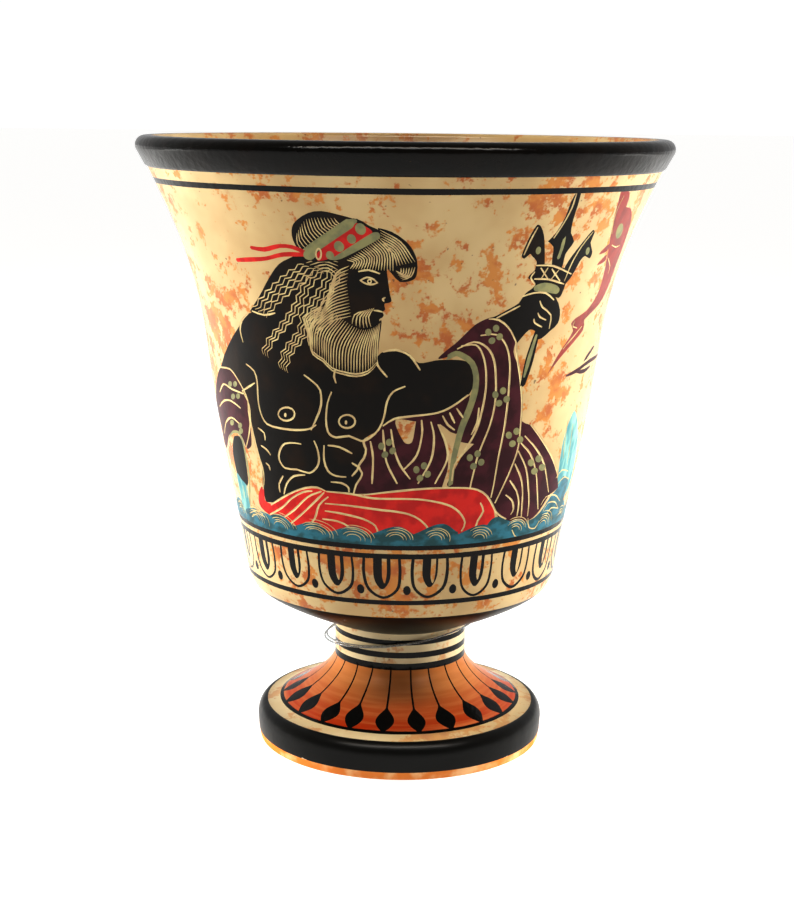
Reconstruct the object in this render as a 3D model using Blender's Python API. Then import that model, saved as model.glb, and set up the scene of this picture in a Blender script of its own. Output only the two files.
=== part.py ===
# A pythagorean cup: a footed drinking cup of glazed earthenware, cast and fired as one piece.
# A hollow column stands in the middle of the bowl. It hides a standpipe whose bore runs down
# through the stem and opens under the foot, so an overfilled cup empties itself.
# A thin filament, left from tying, is looped twice round the stem.
# Metres, +Z up. The origin is on the axis, at the level of the surface that the foot stands on.

import math

import bmesh
import bpy
from mathutils import Vector

# Foot
FOOT_BASE_RADIUS = 0.0279
FOOT_BARE_HEIGHT = 0.0015
FOOT_BARE_RADIUS = 0.0282
FOOT_RING_RADIUS = 0.02835
FOOT_RING_TOP = 0.0070
FOOT_RING_ROUND_WIDTH = 0.00185
FOOT_RING_ROUND_HEIGHT = 0.0028
FOOT_LEDGE_RADIUS = 0.0240
FOOT_LEDGE_RISE = 0.0005
FOOT_BEND_RADIUS = 0.0014
FOOT_BEND_RISE = 0.0046
FOOT_STANDING_WIDTH = 0.0046
FOOT_HOLLOW_HEIGHT = 0.0102
FOOT_HOLLOW_TOP_RADIUS = 0.0085
FOOT_HOLLOW_BEND_RADIUS = 0.0170
FOOT_HOLLOW_BEND_HEIGHT = 0.0080

# Stem
STEM_RADIUS = 0.0130
STEM_BOTTOM = 0.0165
STEM_TOP = 0.0237

# Bowl, outside
BOWL_CORNER_RADIUS = 0.0289
BOWL_CORNER_HEIGHT = 0.0318
UNDER_BEND_RADIUS = 0.0266
UNDER_BEND_HEIGHT = 0.0292
BAND_LINE_RADIUS = 0.0302
BAND_LINE_HEIGHT = 0.0346
LIP_ROOT_RADIUS = 0.0485
LIP_ROOT_HEIGHT = 0.1123
# How far the wall has flared out (second number) at a share of its height (first number).
WALL_FLARE = (
    (0.00, 0.00),
    (0.15, 0.11),
    (0.27, 0.21),
    (0.40, 0.31),
    (0.52, 0.385),
    (0.65, 0.465),
    (0.78, 0.605),
    (0.88, 0.765),
    (1.00, 1.00),
)

# Lip
CUP_HEIGHT = 0.1180
LIP_RADIUS = 0.0508
LIP_ROUND = 0.0018
LIP_FOOT_RADIUS = 0.0491
LIP_FOOT_RISE = 0.0004
LIP_INNER_ROUND = 0.0011
LIP_TUCK = 20  # degrees that the round runs on under the lip

# Bowl, inside
WALL = 0.0042
FLOOR = 0.0050
FLOOR_CORNER_ROUND = 0.0050

# Column and the siphon inside it
COLUMN_BASE_RADIUS = 0.0135
COLUMN_TOP_RADIUS = 0.0115
COLUMN_HEIGHT = 0.0560
COLUMN_WALL = 0.0030
COLUMN_FILLET = 0.0015
BORE_RADIUS = 0.0025
PIPE_WALL = 0.0022
PIPE_LIP_GAP = 0.0062
INTAKE_RADIUS = 0.0024
INTAKE_SILL = 0.0008

# Thread
THREAD_RADIUS = 0.00016
THREAD_CLEARANCE = 0.0003
THREAD_TWIST_RADIUS = 0.0003
THREAD_STAND_OFF = 0.0011
THREAD_LOW = 0.0199
THREAD_HIGH = 0.0238
THREAD_TURNS = 2
THREAD_TWIST_START = 45  # degrees
THREAD_STAND_OFF_POWER = 6  # how sharply the loop stands off at the two sides

# Facets round the axis
SEGMENTS = 48
INTAKE_SIDES = 16
THREAD_POINTS = 72
THREAD_SIDES = 6
MERGE_DISTANCE = 0.00001

# Steps along each stretch of the profile
WALL_ROWS = 11
INNER_WALL_ROWS = 9
DOME_STEPS = 5
ROUND_STEPS = 4
FILLET_STEPS = 3
LIP_STEPS = 5
LIP_INNER_STEPS = 2
UNDERSIDE_STEPS = 6
SLOPE_STEPS = 7
HOLLOW_STEPS = 5


def clear_scene():
    for item in list(bpy.data.objects):
        bpy.data.objects.remove(item, do_unlink=True)


def make_material(name, colour, roughness, coat=0.0, alpha=1.0):
    material = bpy.data.materials.new(name)
    material.use_nodes = True
    shader = material.node_tree.nodes["Principled BSDF"]
    shader.inputs["Base Color"].default_value = (*colour, 1.0)
    shader.inputs["Roughness"].default_value = roughness
    shader.inputs["Metallic"].default_value = 0.0
    shader.inputs["Coat Weight"].default_value = coat
    shader.inputs["Alpha"].default_value = alpha
    return material


def arc(centre, radii, start, end, steps):
    """Points (radius, height) on an ellipse about centre, angles in degrees from +X."""
    points = []
    for i in range(steps + 1):
        angle = math.radians(start + (end - start) * i / steps)
        points.append((centre[0] + radii[0] * math.cos(angle), centre[1] + radii[1] * math.sin(angle)))
    return points


def bezier(start, control, end, steps):
    """Points on a curve from start to end, both left out, drawn towards control."""
    points = []
    for i in range(1, steps):
        t = i / steps
        points.append(
            tuple((1 - t) ** 2 * a + 2 * t * (1 - t) * b + t * t * c for a, b, c in zip(start, control, end))
        )
    return points


def flare(share):
    """The wall's flare at a share of its height, on a smooth curve through WALL_FLARE."""
    last = len(WALL_FLARE) - 1
    place = 0
    while place < last - 1 and share > WALL_FLARE[place + 1][0]:
        place += 1
    before = WALL_FLARE[max(place - 1, 0)]
    low = WALL_FLARE[place]
    high = WALL_FLARE[place + 1]
    after = WALL_FLARE[min(place + 2, last)]
    span = high[0] - low[0]
    t = (share - low[0]) / span
    slope_low = span * (high[1] - before[1]) / (high[0] - before[0])
    slope_high = span * (after[1] - low[1]) / (after[0] - low[0])
    return (
        (2 * t**3 - 3 * t**2 + 1) * low[1]
        + (t**3 - 2 * t**2 + t) * slope_low
        + (3 * t**2 - 2 * t**3) * high[1]
        + (t**3 - t**2) * slope_high
    )


def wall_radius(height):
    """The bowl's outer radius between the band line and the root of the lip."""
    share = (height - BAND_LINE_HEIGHT) / (LIP_ROOT_HEIGHT - BAND_LINE_HEIGHT)
    return BAND_LINE_RADIUS + (LIP_ROOT_RADIUS - BAND_LINE_RADIUS) * flare(share)


def floor_height():
    """The bowl's floor, one floor thickness above the bend of the underside."""
    return UNDER_BEND_HEIGHT + FLOOR


def column_outside():
    """From the crown of the column's dome, on the axis, down to the floor."""
    floor = floor_height()
    shoulder = floor + COLUMN_HEIGHT - COLUMN_TOP_RADIUS
    points = arc((0.0, shoulder), (COLUMN_TOP_RADIUS, COLUMN_TOP_RADIUS), 90, 0, DOME_STEPS)
    fillet_centre = (COLUMN_BASE_RADIUS + COLUMN_FILLET, floor + COLUMN_FILLET)
    points += arc(fillet_centre, (COLUMN_FILLET, COLUMN_FILLET), 180, 270, FILLET_STEPS)
    return points


def bowl_inside():
    """Across the floor and up the inner wall to the lip."""
    floor = floor_height()
    corner_top = floor + FLOOR_CORNER_ROUND
    corner_radius = wall_radius(corner_top) - WALL
    points = [(corner_radius - FLOOR_CORNER_ROUND, floor)]
    points += bezier(points[0], (corner_radius, floor), (corner_radius, corner_top), ROUND_STEPS)
    for i in range(INNER_WALL_ROWS + 1):
        height = corner_top + (LIP_ROOT_HEIGHT - corner_top) * i / INNER_WALL_ROWS
        points.append((wall_radius(height) - WALL, height))
    return points


def lip():
    """Over the lip, from the inner wall to the root of the lip outside."""
    inner = LIP_RADIUS - WALL
    crown = CUP_HEIGHT - LIP_ROUND
    inner_centre = (inner + LIP_INNER_ROUND, CUP_HEIGHT - LIP_INNER_ROUND)
    points = arc(inner_centre, (LIP_INNER_ROUND, LIP_INNER_ROUND), 180, 90, LIP_INNER_STEPS)
    points += arc((LIP_RADIUS - LIP_ROUND, crown), (LIP_ROUND, LIP_ROUND), 90, -LIP_TUCK, LIP_STEPS)
    points.append((LIP_FOOT_RADIUS, LIP_ROOT_HEIGHT + LIP_FOOT_RISE))
    return points


def bowl_outside():
    """Down the outer wall, round its lower corner and in under the bowl to the stem."""
    points = []
    for i in range(WALL_ROWS + 1):
        height = LIP_ROOT_HEIGHT + (BAND_LINE_HEIGHT - LIP_ROOT_HEIGHT) * i / WALL_ROWS
        points.append((wall_radius(height), height))
    corner = (BOWL_CORNER_RADIUS, BOWL_CORNER_HEIGHT)
    stem_end = (STEM_RADIUS, STEM_TOP)
    points.append(corner)
    points += bezier(corner, (UNDER_BEND_RADIUS, UNDER_BEND_HEIGHT), stem_end, UNDERSIDE_STEPS)
    points.append(stem_end)
    return points


def stem_and_foot_outside():
    """Down the stem, out over the spreading foot and round its ring to the standing surface."""
    ledge = (FOOT_LEDGE_RADIUS, FOOT_RING_TOP + FOOT_LEDGE_RISE)
    stem_start = (STEM_RADIUS, STEM_BOTTOM)
    points = [stem_start]
    bend = (STEM_RADIUS + FOOT_BEND_RADIUS, ledge[1] + FOOT_BEND_RISE)
    points += bezier(stem_start, bend, ledge, SLOPE_STEPS)
    points.append(ledge)
    ring_centre = (FOOT_RING_RADIUS - FOOT_RING_ROUND_WIDTH, FOOT_RING_TOP - FOOT_RING_ROUND_HEIGHT)
    points += arc(ring_centre, (FOOT_RING_ROUND_WIDTH, FOOT_RING_ROUND_HEIGHT), 90, 0, ROUND_STEPS)
    points.append((FOOT_BARE_RADIUS, FOOT_BARE_HEIGHT))
    points.append((FOOT_BASE_RADIUS, 0.0))
    return points


def foot_underside():
    """The flat standing ring and the hollow under the foot, up to the mouth of the bore."""
    inner = FOOT_BASE_RADIUS - FOOT_STANDING_WIDTH
    top = (FOOT_HOLLOW_TOP_RADIUS, FOOT_HOLLOW_HEIGHT)
    points = [(inner, 0.0)]
    points += bezier(points[0], (FOOT_HOLLOW_BEND_RADIUS, FOOT_HOLLOW_BEND_HEIGHT), top, HOLLOW_STEPS)
    points.append(top)
    return points


def siphon():
    """Up the bore, over the standpipe's lip, down its outside and up under the column's dome."""
    floor = floor_height()
    shoulder = floor + COLUMN_HEIGHT - COLUMN_TOP_RADIUS
    inner_top_radius = COLUMN_TOP_RADIUS - COLUMN_WALL
    crown = shoulder + inner_top_radius
    pipe_top = crown - PIPE_LIP_GAP
    pipe_radius = BORE_RADIUS + PIPE_WALL
    points = [(BORE_RADIUS, FOOT_HOLLOW_HEIGHT), (BORE_RADIUS, pipe_top), (pipe_radius, pipe_top)]
    points += [(pipe_radius, floor), (COLUMN_BASE_RADIUS - COLUMN_WALL, floor)]
    points += arc((0.0, shoulder), (inner_top_radius, inner_top_radius), 0, 90, ROUND_STEPS)
    return points


def intake_cutter():
    """A round tool that cuts the intake hole through the foot of the column's wall, at the front."""
    inner_end = (COLUMN_BASE_RADIUS - COLUMN_WALL + BORE_RADIUS + PIPE_WALL) / 2
    outer_end = COLUMN_BASE_RADIUS + COLUMN_FILLET
    mesh = bpy.data.meshes.new("intake_cutter")
    shape = bmesh.new()
    bmesh.ops.create_cone(
        shape,
        cap_ends=True,
        segments=INTAKE_SIDES,
        radius1=INTAKE_RADIUS,
        radius2=INTAKE_RADIUS,
        depth=outer_end - inner_end,
    )
    shape.to_mesh(mesh)
    shape.free()
    cutter = bpy.data.objects.new("intake_cutter", mesh)
    bpy.context.collection.objects.link(cutter)
    cutter.location = (0.0, -(outer_end + inner_end) / 2, floor_height() + INTAKE_SILL + INTAKE_RADIUS)
    cutter.rotation_euler = (math.radians(90), 0.0, 0.0)
    cutter.hide_render = True
    cutter.display_type = "WIRE"
    return cutter


def make_cup(material):
    profile = column_outside() + bowl_inside() + lip() + bowl_outside() + stem_and_foot_outside()
    profile += foot_underside() + siphon()
    mesh = bpy.data.meshes.new("cup_body")
    mesh.from_pydata(
        [(radius, 0.0, height) for radius, height in profile],
        [(i, i + 1) for i in range(len(profile) - 1)],
        [],
    )
    mesh.materials.append(material)
    cup = bpy.data.objects.new("cup_body", mesh)
    bpy.context.collection.objects.link(cup)
    turn = cup.modifiers.new("turn", "SCREW")
    turn.axis = "Z"
    turn.angle = 2 * math.pi
    turn.steps = SEGMENTS
    turn.render_steps = SEGMENTS
    turn.use_merge_vertices = True
    turn.merge_threshold = MERGE_DISTANCE
    turn.use_smooth_shade = True
    hole = cup.modifiers.new("intake_hole", "BOOLEAN")
    hole.operation = "DIFFERENCE"
    hole.solver = "EXACT"
    hole.object = intake_cutter()
    return cup


def thread_point(turn):
    """A point on the filament's line, for a turn from 0 to THREAD_TURNS, where the loop closes."""
    angle = 2 * math.pi * turn
    side = math.cos(angle)
    twist = angle / THREAD_TURNS + math.radians(THREAD_TWIST_START)
    inner = STEM_RADIUS + THREAD_CLEARANCE + THREAD_RADIUS + THREAD_TWIST_RADIUS
    radius = inner + THREAD_TWIST_RADIUS * math.cos(twist) + THREAD_STAND_OFF * side**THREAD_STAND_OFF_POWER
    height = (THREAD_LOW + THREAD_HIGH) / 2 + (THREAD_HIGH - THREAD_LOW) / 2 * side
    height += THREAD_TWIST_RADIUS * math.sin(twist)
    return Vector((radius * math.cos(angle), radius * math.sin(angle), height))


def make_thread(material):
    curve = bpy.data.curves.new("stem_thread_line", "CURVE")
    curve.dimensions = "3D"
    spline = curve.splines.new("POLY")
    spline.points.add(THREAD_POINTS - 1)
    for i, point in enumerate(spline.points):
        point.co = (*thread_point(THREAD_TURNS * i / THREAD_POINTS), 1.0)
    spline.use_cyclic_u = True
    curve.bevel_depth = THREAD_RADIUS
    curve.bevel_resolution = THREAD_SIDES // 2 - 2
    curve.materials.append(material)
    thread = bpy.data.objects.new("stem_thread", curve)
    bpy.context.collection.objects.link(thread)
    return thread


def build():
    clear_scene()
    glaze = make_material("painted_glazed_earthenware", (0.62, 0.44, 0.24), 0.28, coat=0.4)
    filament = make_material("clear_nylon_filament", (0.75, 0.76, 0.74), 0.25, alpha=0.6)
    make_cup(glaze)
    make_thread(filament)


build()
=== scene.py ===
import math
import random

import bmesh
import bpy
import numpy as np
from mathutils import Matrix, Vector
from mathutils.geometry import delaunay_2d_cdt


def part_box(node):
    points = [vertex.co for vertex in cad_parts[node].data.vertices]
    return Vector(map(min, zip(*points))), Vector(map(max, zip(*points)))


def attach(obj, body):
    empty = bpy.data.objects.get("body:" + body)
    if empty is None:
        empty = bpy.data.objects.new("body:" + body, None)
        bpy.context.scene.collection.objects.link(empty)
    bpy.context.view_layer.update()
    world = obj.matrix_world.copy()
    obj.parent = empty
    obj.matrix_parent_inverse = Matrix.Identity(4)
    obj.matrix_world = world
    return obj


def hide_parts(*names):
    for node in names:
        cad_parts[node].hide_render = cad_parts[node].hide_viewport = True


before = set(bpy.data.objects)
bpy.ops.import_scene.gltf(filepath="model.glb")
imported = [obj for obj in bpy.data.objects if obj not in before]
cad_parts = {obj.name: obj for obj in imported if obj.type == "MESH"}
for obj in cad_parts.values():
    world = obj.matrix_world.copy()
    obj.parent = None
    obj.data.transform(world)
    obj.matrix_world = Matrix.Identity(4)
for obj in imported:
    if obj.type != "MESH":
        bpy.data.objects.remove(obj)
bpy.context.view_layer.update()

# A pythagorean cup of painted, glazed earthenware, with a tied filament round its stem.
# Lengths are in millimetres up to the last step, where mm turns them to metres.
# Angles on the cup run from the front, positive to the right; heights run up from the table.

mm = 0.001
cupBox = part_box("cup_body")
cupHeight = cupBox[1][2] / mm
lipRadius = cupBox[1][0] / mm

viewpoint = dict(
    back=335.7,       # lens in front of the cup's axis
    height=123.4,     # lens above the table
    pitch=11.247,     # degrees down
    yaw=-0.168,
    roll=0.579,
    focalPixels=1741.6,
    photoWidth=794,
    photoHeight=908,
    sensor=36,
    clip=(0.01, 20),  # metres
)


def viewAxes():
    yaw, pitch, roll = (math.radians(viewpoint[key]) for key in ("yaw", "pitch", "roll"))
    forward = Vector((math.sin(yaw) * math.cos(pitch), math.cos(yaw) * math.cos(pitch), -math.sin(pitch)))
    level = Vector((math.cos(yaw), -math.sin(yaw), 0))
    upright = level.cross(forward)
    right = math.cos(roll) * level + math.sin(roll) * upright
    up = math.cos(roll) * upright - math.sin(roll) * level
    return right, up, forward


def linked(name, data):
    item = bpy.data.objects.new(name, data)
    bpy.context.scene.collection.objects.link(item)
    return item


def addCamera():
    right, up, forward = viewAxes()
    data = bpy.data.cameras.new("camera")
    data.sensor_width = viewpoint["sensor"]
    longSide = max(viewpoint["photoWidth"], viewpoint["photoHeight"])
    data.lens = viewpoint["focalPixels"] * viewpoint["sensor"] / longSide
    data.clip_start, data.clip_end = viewpoint["clip"]
    camera = linked("camera", data)
    turn = Matrix((right, up, -forward)).transposed()
    place = Vector((0, -viewpoint["back"], viewpoint["height"])) * mm
    camera.matrix_world = Matrix.Translation(place) @ turn.to_4x4()
    bpy.context.scene.camera = camera


def linearColour(hexColour):
    channels = [int(hexColour[i:i + 2], 16) / 255 for i in (1, 3, 5)]
    return tuple(c / 12.92 if c <= 0.04045 else ((c + 0.055) / 1.055) ** 2.4 for c in channels) + (1.0,)


def socketOf(sockets, key):
    if isinstance(key, int):
        return sockets[key]
    return next((socket for socket in sockets if socket.identifier == key), None) or sockets[key]


def addNode(tree, kind, inputs=None, **settings):
    # An input is a plain value, a node, whose first output is linked to it, or a (node, output) pair.
    node = tree.nodes.new(kind)
    for name, value in settings.items():
        setattr(node, name, value)
    for key, value in (inputs or {}).items():
        socket = socketOf(node.inputs, key)
        if isinstance(value, bpy.types.Node):
            value = (value, 0)
        if isinstance(value, tuple) and isinstance(value[0], bpy.types.Node):
            tree.links.new(socketOf(value[0].outputs, value[1]), socket)
        else:
            socket.default_value = value
    return node


def addMath(tree, operation, *inputs):
    return addNode(tree, "ShaderNodeMath", dict(enumerate(inputs)), operation=operation)


def addVectorMath(tree, operation, *inputs):
    return addNode(tree, "ShaderNodeVectorMath", dict(enumerate(inputs)), operation=operation)


def addRange(tree, value, low, high, top=1.0, smooth=False):
    # From low to high the value becomes 0 to top.
    inputs = {"Value": value, "From Min": low, "From Max": high, "To Max": top}
    return addNode(tree, "ShaderNodeMapRange", inputs,
                   interpolation_type="SMOOTHSTEP" if smooth else "LINEAR")


def addNoise(tree, place, size, detail, **settings):
    # size is the width of the noise's patches in millimetres.
    inputs = {"Vector": place, "Scale": 1 / size, "Detail": detail, **settings}
    return addNode(tree, "ShaderNodeTexNoise", inputs)


# The cup's profile, the same sizes as the solid.
cupShape = dict(
    footBase=27.9, bareHeight=1.5, bareRadius=28.2, ringRadius=28.35, ringTop=7.0,
    ringRoundWidth=1.85, ringRoundHeight=2.8, ledgeRadius=24.0, ledgeRise=0.5, ledgeBend=(25.6, 7.05),
    slopeBend=1.4, slopeBendRise=4.6, standingWidth=4.6,
    glazeEdge=(0.09, 1.2),      # out from the bare clay's top edge and up from it
    bareBend=(0.06, 0.25),      # out from the foot's base and up from it
    hollowHeight=10.2, hollowTop=8.5, hollowBend=17.0, hollowBendHeight=8.0,
    stemRadius=13.0, stemBottom=16.5, stemTop=23.7,
    cornerRadius=28.9, cornerHeight=31.8, underBend=26.6, underBendHeight=29.2,
    bandLineRadius=30.2, bandLineHeight=34.6, bandBend=29.75, bandBendHeight=33.1,
    lipRootRadius=48.5, lipRootHeight=112.3, lipRound=1.8, lipFoot=49.1, lipFootRise=0.4,
    lipInnerRound=1.1, lipTuck=20, neckHeight=111.4,
    wall=4.2, floor=5.0, floorCorner=5.0,
    columnBase=13.5, columnTop=11.5, columnHeight=56.0, columnWall=3.0, columnFillet=1.5,
    bore=2.5, pipeWall=2.2, pipeLipGap=6.2, intake=2.4, intakeSill=0.8, intakeSides=24,
    columns=192,      # facets round the axis
)
# How many straight steps each bend of the profile has.
bendSteps = dict(
    dome=14, fillet=6, floorCorner=8, innerWall=25, lipInner=6, lip=12, band=7, underside=18,
    ledge=5, torus=12, hollow=14, innerDome=10, slope=80,
)
wallFlare = (
    (0.00, 0.00), (0.15, 0.11), (0.27, 0.21), (0.40, 0.31), (0.52, 0.385),
    (0.65, 0.465), (0.78, 0.605), (0.88, 0.765), (1.00, 1.00),
)

# Heights of the painted rings, each pair the ring's top and bottom.
ringHeights = dict(
    rimStripe=(110.4, 109.4),
    pictureLine=(46.2, 45.3),
    eggTop=(44.6, 43.6),
    eggLine=(35.5, 34.6),
    stemHigh=(22.5, 21.5),
    stemMiddle=(20.05, 18.9),
    stemLow=(17.8, 16.5),
)


def endSlopes(values):
    slopes = np.gradient(values)
    slopes[0], slopes[-1] = values[1] - values[0], values[-1] - values[-2]
    return slopes


def hermite(t, start, startSlope, end, endSlope):
    return ((2 * t**3 - 3 * t**2 + 1) * start + (t**3 - 2 * t**2 + t) * startSlope
            + (3 * t**2 - 2 * t**3) * end + (t**3 - t**2) * endSlope)


def wallRadius(height):
    places, flares = np.array(wallFlare).T
    slopes = endSlopes(flares) / endSlopes(places)
    span = cupShape["lipRootHeight"] - cupShape["bandLineHeight"]
    share = (np.asarray(height, float) - cupShape["bandLineHeight"]) / span
    k = np.clip(np.searchsorted(places, share) - 1, 0, len(places) - 2)
    step = places[k + 1] - places[k]
    t = (share - places[k]) / step
    flare = hermite(t, flares[k], step * slopes[k], flares[k + 1], step * slopes[k + 1])
    return cupShape["bandLineRadius"] + (cupShape["lipRootRadius"] - cupShape["bandLineRadius"]) * flare


def onWall(height, inset=0.0):
    return float(wallRadius(height)) - inset, float(height)


def arcPoints(centre, radii, start, end, steps):
    across, up = radii if isinstance(radii, tuple) else (radii, radii)
    angles = [math.radians(start + (end - start) * i / steps) for i in range(steps + 1)]
    return [(centre[0] + across * math.cos(a), centre[1] + up * math.sin(a)) for a in angles]


def bendPoints(start, control, end, steps):
    shares = [i / steps for i in range(steps + 1)]
    return [tuple((1 - t) ** 2 * a + 2 * t * (1 - t) * b + t * t * c for a, b, c in zip(start, control, end))
            for t in shares]


def slopePoints(steps):
    # The foot's spreading slope, from the stem down to the ledge.
    c = cupShape
    ledge = (c["ledgeRadius"], c["ringTop"] + c["ledgeRise"])
    bend = (c["stemRadius"] + c["slopeBend"], ledge[1] + c["slopeBendRise"])
    return bendPoints((c["stemRadius"], c["stemBottom"]), bend, ledge, steps)


def innerProfile(floor, shoulder):
    # From the crown of the column's dome out to the top of the lip.
    c, steps = cupShape, bendSteps
    points = arcPoints((0, shoulder), c["columnTop"], 90, 0, steps["dome"])
    fillet = (c["columnBase"] + c["columnFillet"], floor + c["columnFillet"])
    points += arcPoints(fillet, c["columnFillet"], 180, 270, steps["fillet"])
    cornerTop = floor + c["floorCorner"]
    corner = onWall(cornerTop, c["wall"])[0]
    points += bendPoints((corner - c["floorCorner"], floor), (corner, floor), (corner, cornerTop),
                         steps["floorCorner"])
    heights = np.linspace(cornerTop, c["lipRootHeight"], steps["innerWall"] + 1)[1:]
    points += [onWall(height, c["wall"]) for height in heights]
    centre = (lipRadius - c["wall"] + c["lipInnerRound"], cupHeight - c["lipInnerRound"])
    return points + arcPoints(centre, c["lipInnerRound"], 180, 90, steps["lipInner"])


def undersideProfile(floor, shoulder):
    # From the foot's base in through its hollow and up the siphon to the inside of the dome.
    c, steps = cupShape, bendSteps
    inner = (c["footBase"] - c["standingWidth"], 0.0)
    bend, top = (c["hollowBend"], c["hollowBendHeight"]), (c["hollowTop"], c["hollowHeight"])
    points = [(c["footBase"], 0.0)] + bendPoints(inner, bend, top, steps["hollow"])
    dome = c["columnTop"] - c["columnWall"]
    pipeTop = shoulder + dome - c["pipeLipGap"]
    pipe = c["bore"] + c["pipeWall"]
    points += [(c["bore"], top[1]), (c["bore"], pipeTop), (pipe, pipeTop), (pipe, floor)]
    points.append((c["columnBase"] - c["columnWall"], floor))
    return points + arcPoints((0, shoulder), dome, 0, 90, steps["innerDome"])


def cupProfile():
    # Stretches of (paint, points), from the crown of the column's dome round to the dome's inside.
    c, steps = cupShape, bendSteps
    floor = c["underBendHeight"] + c["floor"]
    shoulder = floor + c["columnHeight"] - c["columnTop"]
    inside = innerProfile(floor, shoulder)
    lipCentre = (lipRadius - c["lipRound"], cupHeight - c["lipRound"])
    root = (c["lipRootRadius"], c["lipRootHeight"])
    lip = [inside[-1]] + arcPoints(lipCentre, c["lipRound"], 90, -c["lipTuck"], steps["lip"])
    lip += [(c["lipFoot"], c["lipRootHeight"] + c["lipFootRise"]), root]
    neck = [root, onWall(c["neckHeight"]), onWall(ringHeights["rimStripe"][0])]
    bandLine = (c["bandLineRadius"], c["bandLineHeight"])
    corner = (c["cornerRadius"], c["cornerHeight"])
    band = bendPoints(bandLine, (c["bandBend"], c["bandBendHeight"]), corner, steps["band"])
    bend, stemEnd = (c["underBend"], c["underBendHeight"]), (c["stemRadius"], c["stemTop"])
    underside = bendPoints(corner, bend, stemEnd, steps["underside"])
    stretches = [("inside", inside), ("blackGlaze", lip), ("ground", neck)]
    stretches += [(None, [neck[-1], bandLine]), ("ground", band), ("underside", underside)]
    height = c["stemTop"]
    for ring in ("stemHigh", "stemMiddle", "stemLow"):
        top, bottom = ringHeights[ring]
        stretches.append(("footRing", [(c["stemRadius"], height), (c["stemRadius"], top)]))
        stretches.append(("blackGlaze", [(c["stemRadius"], top), (c["stemRadius"], bottom)]))
        height = bottom
    slope = slopePoints(1)
    stretches.append((None, slope))
    ringCentre = (c["ringRadius"] - c["ringRoundWidth"], c["ringTop"] - c["ringRoundHeight"])
    torus = arcPoints(ringCentre, (c["ringRoundWidth"], c["ringRoundHeight"]), 90, 0, steps["torus"])
    stretches.append(("footRing", bendPoints(slope[1], c["ledgeBend"], torus[0], steps["ledge"])))
    bareTop = (c["bareRadius"], c["bareHeight"])
    torus += [(bareTop[0] + c["glazeEdge"][0], bareTop[1] + c["glazeEdge"][1]), bareTop]
    stretches.append(("torusGlaze", torus))
    bareBend = (c["footBase"] + c["bareBend"][0], c["bareBend"][1])
    stretches.append(("bareClay", [bareTop, bareBend, (c["footBase"], 0.0)]))
    stretches.append(("underClay", undersideProfile(floor, shoulder)))
    return stretches


paintOrder = (
    "inside", "blackGlaze", "ground", "underside", "tongueWash", "footRing", "torusGlaze", "bareClay",
    "underClay", "figureBlack", "teal", "paleTeal", "red", "fishRed", "maroon", "olive", "incised",
)


def profileMesh():
    # One poly-line in the XZ plane; each point carries the paint of the stretch that follows it.
    points, paints = [], []
    for paint, stretch in cupProfile():
        index = paintOrder.index(paint) if paint else -1
        for point in stretch:
            if points and math.dist(points[-1], point) < 0.001:
                paints[-1] = index
            else:
                points.append(point)
                paints.append(index)
    mesh = bpy.data.meshes.new("cup")
    mesh.from_pydata([(r * mm, 0, z * mm) for r, z in points], [(i, i + 1) for i in range(len(points) - 1)],
                     [])
    mesh.attributes.new("paint", "INT", "POINT").data.foreach_set("value", paints)
    lengths = np.cumsum([0] + [math.dist(a, b) for a, b in zip(points, points[1:])])
    mesh.attributes.new("station", "FLOAT", "POINT").data.foreach_set("value", lengths)
    return mesh


def newTree(name, inputs):
    # A tree that takes geometry and the named inputs and gives geometry, with its input node.
    tree = bpy.data.node_groups.new(name, "GeometryNodeTree")
    for socket, kind in (("Geometry", "Geometry"),) + inputs:
        tree.interface.new_socket(socket, in_out="INPUT", socket_type="NodeSocket" + kind)
    tree.interface.new_socket("Geometry", in_out="OUTPUT", socket_type="NodeSocketGeometry")
    return tree, addNode(tree, "NodeGroupInput")


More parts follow.
